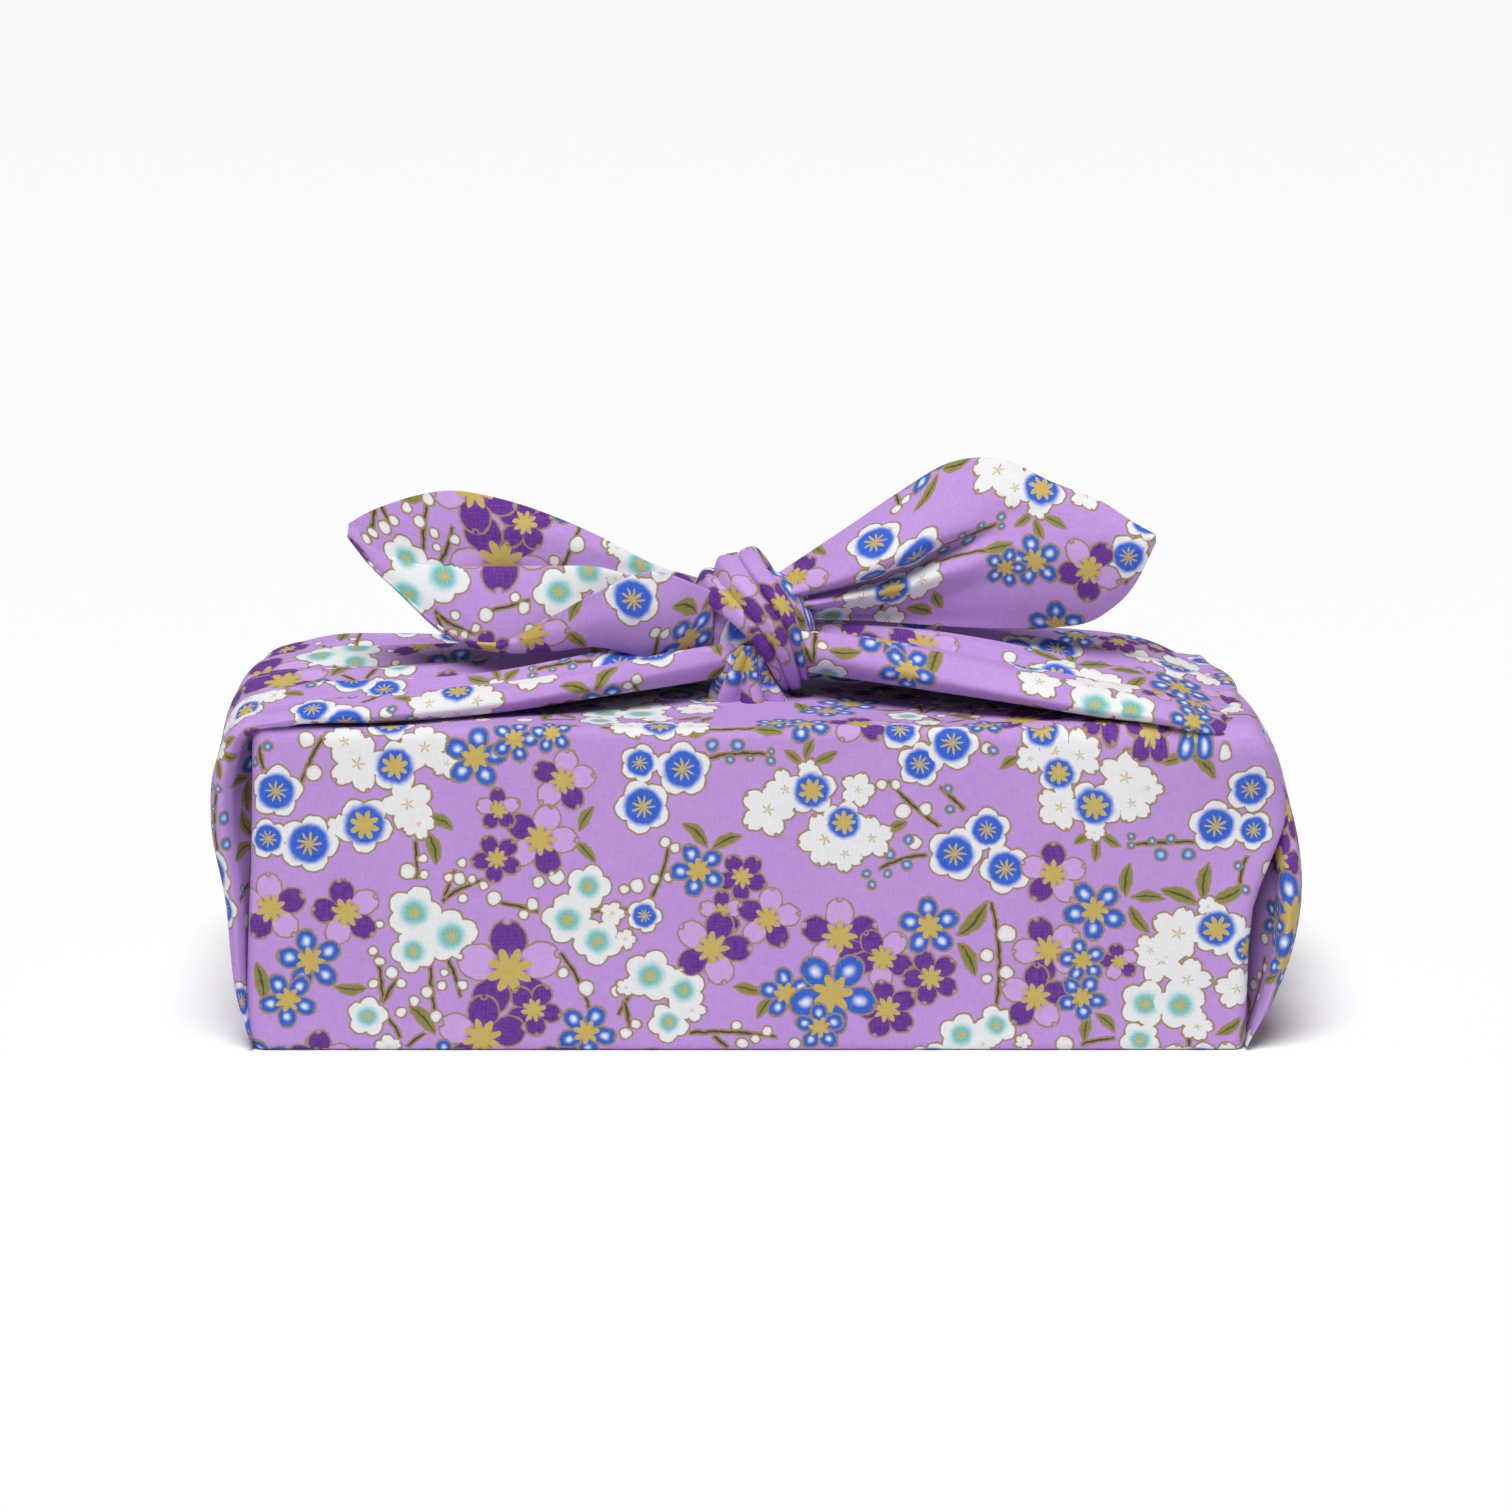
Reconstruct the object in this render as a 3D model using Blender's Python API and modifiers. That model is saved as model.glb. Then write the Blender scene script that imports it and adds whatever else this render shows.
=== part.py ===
"""A gift box wrapped in one square of printed cotton, tied in a flat knot on top with two leaf-shaped tails.

The cloth is one piece, so the model is one closed solid. It is filled where cloth lies on the box or is
gathered tight, as in the two arms and the knot, and it is a thin sheet where the tails stand free.
Sizes are in millimetres: X along the bundle, Y away from the viewer, Z up, origin under the middle.
"""

import math

import bmesh
import bpy
import numpy as np

MM = 0.001

# Driving dimensions of the wrapped box
LENGTH = 264.0
DEPTH = 98.0
HEIGHT = 88.6
EDGE_ROUND = 3.0
FRONT_BULGE = 1.2
TOP_SAG = 1.4

# Driving dimensions of what is tied on top
ARM_SINK = 9.0
ARM_LIFT = 6.0
LIFT_FROM = 44.0
KNOT_CENTRE = (2.2, -1.5, 106.2)
KNOT_TILT = math.radians(32)
KNOT_RADIUS = 13.6
KNOT_SQUASH = 0.9
KNOT_BOW = 4.4
KNOT_LEAN = (1.0, 0.0, -2.2)  # how far the band runs to the lower right on its way down
KNOT_NARROWING = 0.22
STRANDS = 3
STRAND_PITCH = 6.8
STRAND_THICK = 4.6
TAIL_THICK = 1.8
LOOP_PINCH = (0.0, -12.5, 103.0)
LOOP_FOOT = (0.2, -8.0, 86.4)
LOOP_FOLDS = 5
HEART_RADII = (17.0, 12.0, 15.0)
HEART_OFFSET = (0.0, 2.0, -1.0)

# How finely the solid is stepped
ARM_STEPS = 26
ARM_POINTS_PER_FOLD = 2
TAIL_STEPS = 16
TAIL_POINTS_PER_FOLD = 2
RING_STEPS = 26
RING_POINTS = 13
LOOP_STEPS = 9
LOOP_POINTS = 20

# Each arm's middle line, from the foot of the end panel up over the end and in to the knot: x is
# outwards from the middle, z up, and keep is how much of the folds' own height shows there
LEFT_PATH = (
    (133.4, 1.0, 0.12),
    (136.6, 14.0, 0.55),
    (138.8, 42.0, 0.85),
    (141.8, 62.0, 1.0),
    (141.0, 77.0, 1.0),
    (136.0, 88.6, 0.9),
    (122.0, 92.4, 0.9),
    (96.0, 92.8, 1.0),
    (66.0, 94.0, 1.0),
    (38.0, 97.0, 0.9),
    (10.0, 100.0, 0.8),
    (-2.0, 101.0, 0.7),
)
RIGHT_PATH = (
    (132.8, 1.0, 0.12),
    (139.6, 14.0, 0.6),
    (145.0, 34.0, 0.9),
    (145.6, 48.0, 1.0),
    (143.6, 61.0, 1.0),
    (139.6, 72.0, 1.0),
    (131.5, 84.4, 0.9),
    (115.0, 91.8, 0.9),
    (92.0, 95.4, 1.0),
    (64.0, 99.0, 1.0),
    (38.0, 101.4, 0.9),
    (10.0, 102.5, 0.7),
)

# The folds across an arm, front to back: y at the end of the box and at the knot, pull is how soon
# the fold turns in from the end (under 1 is soon), and the heights are at the end, midway and at the knot
LEFT_FOLDS = (
    ("tuck under the front roll", -40.0, -1.0, 1.4, -6.2, -5.6, -10.6),
    ("front roll, underside", -46.5, -6.0, 1.6, -4.0, -4.4, -8.6),
    ("front roll, nose", -49.6, -8.5, 1.6, -1.2, -0.8, -2.0),
    ("front roll, crown", -44.0, -6.5, 1.4, 1.6, 2.8, 3.2),
    ("first crease", -35.0, -3.0, 1.2, -0.2, -0.2, 1.4),
    ("second roll", -26.0, 0.5, 1.1, 1.4, 2.6, 4.6),
    ("second crease", -14.0, 3.5, 1.1, -0.4, 0.6, 2.2),
    ("third roll", -4.0, 6.5, 1.1, 1.0, 2.8, 4.4),
    ("third crease", 10.0, 8.0, 1.3, -0.5, 0.4, 1.6),
    ("fourth roll", 22.0, 9.6, 1.5, 1.0, 1.8, 3.0),
    ("fourth crease", 34.0, 10.8, 1.7, -0.2, -0.2, 0.2),
    ("back roll, crown", 43.0, 11.8, 1.9, 0.0, 0.2, 0.8),
    ("back roll, nose", 48.6, 12.8, 1.9, -3.4, -3.4, -2.4),
    ("tuck under the back roll", 41.0, 9.0, 1.9, -6.2, -6.0, -6.0),
)
RIGHT_FOLDS = (
    ("tuck under the front roll", -40.0, -1.0, 1.4, -6.2, -7.6, -12.0),
    ("front roll, underside", -46.5, -7.0, 1.6, -4.6, -6.2, -10.0),
    ("front roll, nose", -49.6, -10.0, 1.6, -1.4, -2.6, -2.6),
    ("front roll, crown", -42.0, -7.0, 1.3, 1.6, 2.4, 4.4),
    ("first crease", -28.0, -1.5, 1.2, 0.2, 1.6, 4.0),
    ("second roll", -16.0, 2.0, 1.1, 1.4, 3.6, 5.6),
    ("second crease", -5.0, 5.0, 1.1, -0.4, 1.4, 3.0),
    ("third roll", 7.0, 7.2, 1.2, 1.0, 2.8, 4.0),
    ("third crease", 18.0, 9.2, 1.4, -0.4, 0.2, 1.6),
    ("fourth roll", 30.0, 10.8, 1.7, 0.8, 1.0, 2.2),
    ("back roll, crown", 41.0, 12.0, 1.9, -0.4, -1.2, 0.4),
    ("back roll, nose", 47.0, 12.8, 1.9, -3.6, -5.0, -2.6),
    ("tuck under the back roll", 40.0, 9.0, 1.9, -6.2, -8.0, -6.0),
)

# How far the cloth gives way at the two back top corners: inwards, then down
BACK_LEFT = (3.0, 1.5)
BACK_RIGHT = (6.5, 3.0)

# The tails, as fold lines that run from the knot to the tip: a name, then z and y at each station x
LEFT_STATIONS = (-10.0, -27.0, -41.0, -54.0, -68.0, -81.0, -95.0, -104.0, -108.2)
LEFT_TAIL = (
    ("upper edge", (117, 121.5, 128.4, 134, 138.6, 141, 138.6, 135.4, 133), (2, 5, 7, 8, 8, 7, 5, 3, 2)),
    ("upper half", (114, 119.8, 125, 128, 130.5, 132.2, 131.8, 131.4, 132), (0, 3, 4, 4.5, 4.5, 4.5, 3, 2, 1.6)),
    ("behind the tuck", (113, 116.4, 119, 119, 119.2, 120.5, 124, 128.4, 131.4), (-1, 1.6, 2.5, 3, 3, 2, 1, 0.6, 1)),
    ("front of the tuck", (111, 117, 121, 121.2, 121, 120.9, 123, 127.7, 131.1), (-4, -2.4, -0.8, 0, 0, 0, 0, 0, 0.8)),
    ("lower half", (107, 110, 111.6, 111.6, 110.6, 112, 119.4, 126.2, 130.8), (-4, -4, -4.5, -5, -5, -4, -2, -0.6, 0.5)),
    ("lower fold", (99.7, 98.8, 101.9, 100.8, 100.6, 104.2, 116, 124.6, 130.4), (-6, -9, -9, -9, -8, -6, -3, -1, 0)),
    ("turned up front", (107, 111, 109, 105.6, 102, 104.6, 116.2, 124.8, 130.3), (-9, -14, -13, -11.5, -9.4, -7, -4, -2, -0.6)),
    ("turned up rim", (117, 123, 117.4, 110, 102.8, 105, 116.4, 125, 130.1), (-9, -12, -12, -11, -9, -7.4, -4.4, -2.4, -1)),
)
RIGHT_STATIONS = (8.0, 27.0, 40.0, 54.0, 68.0, 81.0, 95.0, 104.0, 109.0)
RIGHT_TAIL = (
    ("upper edge", (119, 131.4, 140, 148.2, 149.2, 143.6, 138.2, 132.6, 130.0), (4, 6, 8, 9, 8, 6, 4, 2, 1)),
    ("back of the first lobe", (116, 126, 133, 138.6, 141, 138.6, 135, 131.4, 129.9), (-1, -3, -3, 0, 2, 2, 1, 0, 0)),
    ("first lobe", (114, 120.4, 126, 131.5, 134.8, 134, 132, 130.2, 129.7), (-4, -8, -9, -4, 0, 0, -0.6, -1, -1)),
    ("under the first lobe", (112, 116.4, 120.4, 126.6, 130.6, 130.2, 129, 128.7, 129.6), (-2, -1, 0, 1.5, -1, -1.6, -1.6, -1.4, -1)),
    ("second roll, crown", (111, 114.4, 117, 121.6, 125.4, 126, 126, 127.2, 129.4), (-5, -6, -6, -5, -4, -3, -2.2, -1.8, -1)),
    ("second roll, foot", (110, 110.4, 111.4, 114.5, 118, 119.6, 122, 125.6, 129.2), (-2, -2, -2, -2, -2.6, -2.8, -2.4, -1.8, -1)),
    ("lower half", (109, 108.6, 108.6, 109.4, 110.6, 111.6, 114.6, 121.6, 129.0), (-1, 0, 0, -1, -1.6, -2, -2, -1.6, -1)),
    ("lower edge", (108, 107.2, 106.2, 105.2, 104.6, 104.8, 108.6, 118, 128.6), (-3, -2, -1, -1, -0.6, 0, -0.6, -1, -1)),
)

# Cloth colour: a lavender ground, the mean of the print on it is much the same
CLOTH_COLOUR = (0.46, 0.30, 0.66, 1.0)
CLOTH_ROUGHNESS = 0.85


def clear_scene():
    for thing in list(bpy.data.objects):
        bpy.data.objects.remove(thing, do_unlink=True)


def smooth_table(stations, values, wanted):
    """Values of a table read between its stations on a smooth curve (cubic, slopes from the neighbours)."""
    stations = np.asarray(stations, float)
    values = np.asarray(values, float)
    slopes = np.gradient(values, stations, axis=0)
    spot = np.clip(np.searchsorted(stations, wanted, side="right") - 1, 0, len(stations) - 2)
    span = stations[spot + 1] - stations[spot]
    t = (np.asarray(wanted, float) - stations[spot]) / span
    if values.ndim > 1:
        t, span = t[:, None], span[:, None]
    start, end = values[spot], values[spot + 1]
    rise = slopes[spot] * span
    fall = slopes[spot + 1] * span
    return (
        (2 * t**3 - 3 * t**2 + 1) * start
        + (t**3 - 2 * t**2 + t) * rise
        + (3 * t**2 - 2 * t**3) * end
        + (t**3 - t**2) * fall
    )


def mesh_object(name, points, faces, collection):
    mesh = bpy.data.meshes.new(name)
    mesh.from_pydata((np.asarray(points, float) * MM).tolist(), [], faces)
    mesh.validate()
    thing = bpy.data.objects.new(name, mesh)
    collection.objects.link(thing)
    return thing


def loft(name, rings, collection, closed_path=False):
    """A closed solid through rings of equal point count, capped unless the path itself closes."""
    rings = np.asarray(rings, float)
    count, around = rings.shape[:2]
    faces = []
    for i in range(count if closed_path else count - 1):
        here, there = i * around, (i + 1) % count * around
        for j in range(around):
            k = (j + 1) % around
            faces.append((here + j, here + k, there + k, there + j))
    if not closed_path:
        faces.append(tuple(range(around - 1, -1, -1)))
        faces.append(tuple(range((count - 1) * around, count * around)))
    return mesh_object(name, rings.reshape(-1, 3), faces, collection)


def faces_outwards(thing):
    """Turns a closed mesh's faces so that they all point out."""
    work = bmesh.new()
    work.from_mesh(thing.data)
    bmesh.ops.triangulate(work, faces=[face for face in work.faces if len(face.verts) > 4])
    bmesh.ops.recalc_face_normals(work, faces=work.faces)
    work.to_mesh(thing.data)
    work.free()


def ease(x, low, high):
    """0 below low, 1 above high, and a smooth step between them."""
    t = np.clip((np.asarray(x, float) - low) / (high - low), 0, 1)
    return t * t * (3 - 2 * t)


def soft_back(points):
    """Lets the back top corners give way: the shift grows smoothly towards the corner."""
    x, y, z = np.asarray(points, float).T
    corner = ease(y, 8, 48) * ease(z, 20, 88)
    left, right = corner * ease(-x, 92, 140), corner * ease(x, 92, 140)
    moved_x = x + BACK_LEFT[0] * left - BACK_RIGHT[0] * right
    return np.column_stack([moved_x, y, z - BACK_LEFT[1] * left - BACK_RIGHT[1] * right])


def box_section(x):
    """The wrapped box cut across at x: a rectangle with small round edges, its sides full and its top slack."""
    along = abs(x) / (LENGTH / 2)
    inset = EDGE_ROUND * (1 - math.sqrt(max(0.0, 1 - max(0.0, (along - 0.977) / 0.023) ** 2)))
    half = DEPTH / 2 - inset
    low, high = 0.0, HEIGHT - inset
    fullness = FRONT_BULGE * (1 - along**6)
    sag = TOP_SAG * (1 - along**4)
    radius = EDGE_ROUND
    corners = (
        (half - radius, low + radius, 270),
        (half - radius, high - radius, 0),
        (-half + radius, high - radius, 90),
        (-half + radius, low + radius, 180),
    )
    ring = []
    for y, z, start in corners:
        for turn in (0, 30, 60, 90):
            angle = math.radians(start + turn)
            ring.append((y + radius * math.cos(angle), z + radius * math.sin(angle)))
    pushes = {3: (fullness, 0.0), 7: (0.0, -sag), 11: (-fullness, 0.0)}  # the back, the top and the front
    section = []
    for i, (y, z) in enumerate(ring):
        section.append((x, y, z))
        if i in pushes:
            next_y, next_z = ring[i + 1]
            for share in (0.25, 0.5, 0.75):
                bow = 4 * share * (1 - share)
                push_y, push_z = pushes[i]
                section.append(
                    (x, y + (next_y - y) * share + push_y * bow, z + (next_z - z) * share + push_z * bow)
                )
    return section


def wrapped_box(collection):
    end = LENGTH / 2
    stations = [-end, -end + 0.5, -end + 1.5, -end + 3.0, -end + 12.0]
    stations += list(np.linspace(-end + 24, end - 24, 7))
    stations += [end - 12.0, end - 3.0, end - 1.5, end - 0.5, end]
    box = loft("wrapped_box", [soft_back(box_section(x)) for x in stations], collection)
    faces_outwards(box)
    return box


def arm(name, side, path, folds, collection):
    """An end panel and the arm that it turns into: sections of folds set square to a path, closed inside."""
    path = np.asarray(path, float)
    reach = np.concatenate([[0], np.cumsum(np.hypot(*np.diff(path[:, :2], axis=0).T))])
    wanted = np.linspace(0, reach[-1], ARM_STEPS)
    line = smooth_table(reach, path, wanted)
    x, z, keep = line.T
    along = np.gradient(line[:, :2], wanted, axis=0)
    along /= np.linalg.norm(along, axis=1)[:, None]
    out_x, out_z = along[:, 1], -along[:, 0]

    end_x = LENGTH / 2 - 6
    knot_x = path[-1, 0]
    on_top = z > HEIGHT * 0.8
    gather = np.where(on_top, np.clip((end_x - x) / (end_x - knot_x), 0, 1), 0)

    numbers = np.array([fold[1:] for fold in folds])
    y_end, y_knot, pull = numbers[:, 0], numbers[:, 1], numbers[:, 2]
    heights = smooth_table((0, 0.5, 1), numbers[:, 3:].T, gather)
    across = y_end + (y_knot - y_end) * gather[:, None] ** pull
    heights = heights * keep[:, None]

    places = np.arange(len(folds), dtype=float)
    fine = np.linspace(0, len(folds) - 1, (len(folds) - 1) * ARM_POINTS_PER_FOLD + 1)
    across = smooth_table(places, across.T, fine).T
    heights = smooth_table(places, heights.T, fine).T

    rings = []
    for i in range(ARM_STEPS):
        outer = np.column_stack(
            [
                side * (x[i] + out_x[i] * heights[i]),
                across[i],
                np.maximum(z[i] + out_z[i] * heights[i], 0.0),
            ]
        )
        front, back = across[i, 0], across[i, -1]
        inner_x = side * (x[i] - out_x[i] * ARM_SINK)
        inner_z = max(z[i] - out_z[i] * ARM_SINK, 0.4)
        if on_top[i] and x[i] < 2 * LIFT_FROM:
            rise = np.clip((LIFT_FROM - x[i]) / (LIFT_FROM - knot_x), 0, 1) ** 2
            inner_z = HEIGHT - ARM_LIFT / 2 + 1.5 * ARM_LIFT * rise
        inner = [(inner_x, back - 2, inner_z), (inner_x, front + 2, inner_z)]
        rings.append(soft_back(np.vstack([outer, inner])))
    piece = loft(name, rings, collection)
    faces_outwards(piece)
    return piece


def tail(name, stations, folds, collection):
    """A free tail of the cloth: a sheet through its fold lines, thickened."""
    stations = np.asarray(stations, float)
    order = np.argsort(stations)
    z = np.array([fold[1] for fold in folds], float)[:, order]
    y = np.array([fold[2] for fold in folds], float)[:, order]
    wanted = np.linspace(stations.min(), stations.max(), TAIL_STEPS)
    z = smooth_table(stations[order], z.T, wanted)
    y = smooth_table(stations[order], y.T, wanted)
    places = np.arange(len(folds), dtype=float)
    fine = np.linspace(0, len(folds) - 1, (len(folds) - 1) * TAIL_POINTS_PER_FOLD + 1)
    z = smooth_table(places, z.T, fine).T
    y = smooth_table(places, y.T, fine).T
    x = np.repeat(wanted[:, None], z.shape[1], axis=1)
    points = np.stack([x, y, z], axis=2)
    rows, columns = z.shape
    faces = [
        (i * columns + j, i * columns + j + 1, (i + 1) * columns + j + 1, (i + 1) * columns + j)
        for i in range(rows - 1)
        for j in range(columns - 1)
    ]
    sheet = mesh_object(name, points.reshape(-1, 3), faces, collection)
    thick = sheet.modifiers.new("cloth thickness", "SOLIDIFY")
    thick.thickness = TAIL_THICK * MM
    thick.offset = 0
    return sheet


def knot_frame():
    """The knot's own axes: along is the way the wrapped strand goes, up is square to it, depth is Y."""
    along = np.array([math.cos(KNOT_TILT), 0, math.sin(KNOT_TILT)])
    up = np.array([-math.sin(KNOT_TILT), 0, math.cos(KNOT_TILT)])
    depth = np.array([0, 1.0, 0])
    return np.array(KNOT_CENTRE), along, up, depth


def knot_band(collection):
    """The outer wrap of the knot: a ring of three strands side by side round the tilted axis.

    A strand's crown stands 0.36 of its thickness over the creases beside it, and the band's two edges
    fall to the ring. In front the band bows out along its own axis, and it is narrowest at the back."""
    centre, along, up, depth = knot_frame()
    half = STRANDS / 2
    inner = 0.8 * half
    rings = []
    for angle in np.linspace(0, 2 * math.pi, RING_STEPS, endpoint=False):
        way = up * math.cos(angle) + depth * math.sin(angle) * KNOT_SQUASH
        bow = along * KNOT_BOW * max(0.0, -math.sin(angle)) ** 2
        bow = bow - np.array(KNOT_LEAN) * math.cos(angle - math.radians(20))
        middle = centre + way * KNOT_RADIUS + bow
        narrow = 1 - KNOT_NARROWING * (0.5 - 0.5 * math.cos(angle + 0.6))
        pitch = STRAND_PITCH * narrow
        section = []
        for across in np.linspace(-half, half, RING_POINTS):
            crown = abs(math.cos(math.pi * across)) ** 0.7
            dome = math.sqrt(max(0.0, 1 - (across / (half + 0.12)) ** 2))
            lift = STRAND_THICK * (0.72 + 0.36 * crown) * dome
            section.append(middle + along * across * pitch + way * lift)
        section.append(middle + along * inner * pitch - way * STRAND_THICK * 1.9)
        section.append(middle - along * inner * pitch - way * STRAND_THICK * 1.9)
        rings.append(section)
    band = loft("knot_band", rings, collection, closed_path=True)
    faces_outwards(band)
    return band


def knot_lobe(collection):
    """The gathered loop that shows under the band: a fan of folds from a pinch down to the box.

    Each ring is an ellipse with a wave for every fold. It opens fast below the pinch and is widest
    two thirds of the way down, where it is 23 mm across and 15 mm deep."""
    pinch, foot = np.array(LOOP_PINCH), np.array(LOOP_FOOT)
    rings = []
    for share in np.linspace(0, 1, LOOP_STEPS):
        middle = pinch + (foot - pinch) * share
        width = 3.0 + 8.4 * math.sin(math.pi * (0.12 + 0.62 * share))
        deep = 3.0 + 4.6 * math.sin(math.pi * (0.1 + 0.7 * share))
        section = []
        for angle in np.linspace(0, 2 * math.pi, LOOP_POINTS, endpoint=False):
            fold = 1 + 0.11 * math.cos(LOOP_FOLDS * angle + 0.5)
            section.append(
                middle + np.array([width * fold * math.cos(angle), deep * fold * math.sin(angle), 0])
            )
        rings.append(section)
    lobe = loft("knot_lobe", rings, collection)
    faces_outwards(lobe)
    return lobe


def knot_core(collection):
    """The tight middle of the knot, where arms, loop and tails meet: an ellipsoid inside the band."""
    bpy.ops.mesh.primitive_uv_sphere_add(segments=20, ring_count=12, radius=1)
    core = bpy.context.object
    core.name = "knot_core"
    core.data.name = "knot_core"
    middle = np.array(KNOT_CENTRE) + np.array(HEART_OFFSET)
    points = np.zeros(len(core.data.vertices) * 3)
    core.data.vertices.foreach_get("co", points)
    points = (points.reshape(-1, 3) * HEART_RADII + middle) * MM
    core.data.vertices.foreach_set("co", points.reshape(-1))
    for owner in list(core.users_collection):
        owner.objects.unlink(core)
    collection.objects.link(core)
    return core


def cloth_material():
    material = bpy.data.materials.new("printed_cotton")
    material.use_nodes = True
    shader = material.node_tree.nodes["Principled BSDF"]
    shader.inputs["Base Color"].default_value = CLOTH_COLOUR
    shader.inputs["Roughness"].default_value = CLOTH_ROUGHNESS
    shader.inputs["Metallic"].default_value = 0.0
    return material


def build():
    clear_scene()
    shown = bpy.data.collections.new("furoshiki_wrap")
    joined = bpy.data.collections.new("joined_shapes")
    bpy.context.scene.collection.children.link(shown)
    bpy.context.scene.collection.children.link(joined)

    bundle = wrapped_box(shown)
    bundle.name = "furoshiki_cloth"
    bundle.data.name = "furoshiki_cloth"

    shapes = [
        arm("left_arm", -1, LEFT_PATH, LEFT_FOLDS, joined),
        arm("right_arm", 1, RIGHT_PATH, RIGHT_FOLDS, joined),
        knot_band(joined),
        knot_lobe(joined),
        knot_core(joined),
        tail("left_tail", LEFT_STATIONS, LEFT_TAIL, joined),
        tail("right_tail", RIGHT_STATIONS, RIGHT_TAIL, joined),
    ]
    for shape in shapes:
        shape.hide_render = True
        shape.display_type = "WIRE"
        join = bundle.modifiers.new("join " + shape.name, "BOOLEAN")
        join.operation = "UNION"
        join.solver = "MANIFOLD"  # the exact solver loses the tails, whose folds lie close together
        join.object = shape

    bundle.data.materials.append(cloth_material())
    bundle.data.shade_smooth()


build()
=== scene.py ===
# A low gift box wrapped in one square of flower-printed cotton, tied in a flat knot with two tails.
# Lengths in the tables are millimetres: x along the bundle, y away from the viewer, z up.
import math

import bpy
import numpy as np
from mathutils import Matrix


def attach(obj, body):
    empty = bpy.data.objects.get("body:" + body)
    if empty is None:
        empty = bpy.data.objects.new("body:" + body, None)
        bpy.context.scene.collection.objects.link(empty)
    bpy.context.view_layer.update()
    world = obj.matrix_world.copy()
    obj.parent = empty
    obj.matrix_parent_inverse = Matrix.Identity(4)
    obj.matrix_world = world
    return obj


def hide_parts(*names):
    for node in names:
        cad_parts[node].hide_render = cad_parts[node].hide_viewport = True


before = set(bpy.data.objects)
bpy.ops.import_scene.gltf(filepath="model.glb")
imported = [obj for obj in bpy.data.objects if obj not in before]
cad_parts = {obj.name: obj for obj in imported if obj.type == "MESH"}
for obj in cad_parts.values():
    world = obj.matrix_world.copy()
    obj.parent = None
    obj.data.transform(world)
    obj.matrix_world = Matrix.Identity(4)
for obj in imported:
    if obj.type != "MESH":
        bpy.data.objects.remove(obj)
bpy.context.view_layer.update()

mm = 0.001
clothNode = "furoshiki_cloth"

bundle = {
    "length": 264.0,
    "depth": 98.0,
    "height": 88.6,
    "edgeRound": 3.2,       # at the long edges
    "softCorner": 7.5,      # the front top edge towards the right end, where the cloth stands off
    "frontFull": 1.2,       # how far the front swells
    "topSag": 1.4,
    "flapDrop": 24.0,       # the over flap's folded edge lies this far down the back
    "flapThick": 0.9,
    "underFlap": 41.0,      # the cloth under the flap is another stretch of the square, this far on
    # how far the cloth gives way at the back top corners: inwards, then down
    "backLeft": (3.0, 1.5),
    "backRight": (6.5, 3.0),
    # how far the front cloth stands out past each end, at these heights
    "leftEar": ((0, 5, 15, 30, 50, 70, 88.6), (1.2, 2.6, 2.8, 2.2, 1.0, 0.3, 0.0)),
    "rightEar": ((0, 28, 39, 44.5, 50, 55.4, 60, 66, 74, 80, 85, 88.6),
                 (0.4, 1.0, 2.3, 4.4, 7.0, 9.7, 11.5, 12.0, 10.0, 7.5, 5.0, 3.0)),
}


# The print's chart. Each row was read off the photograph's front, flower by flower: the pixel column and
# row of the middle, the reach in pixels (a flower's radius, or half the length of a leaf or twig) and the
# turn in degrees. Then comes the bend of a leaf or twig, or which petals of a cherry blossom are pale: a
# phase, and from 10 on none is
kinds = ("plumBlue", "plumMint", "starPlum", "white", "bud", "blueBud", "cobalt", "cherry", "leaf", "twig")
drawnOrder = (
    "twig", "leaf", "bud", "blueBud", "white", "plumMint", "plumBlue", "starPlum", "cherry", "cobalt",
)
chartReading = {
    "pixel": (756, 756),        # this column and row of the photograph
    "place": (133.5, 81.0),     # are here, in mm from the front's lower left corner
    "across": 0.265,            # mm a pixel along the front
    "up": 0.2732,               # and up it, more because it leans away from the camera
    "outline": {"bud": 0.6, "blueBud": 0.6, "leaf": 1.0, "twig": 1.0},  # pixels of it in the reach
    "flowerOutline": 1.5,
}
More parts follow.
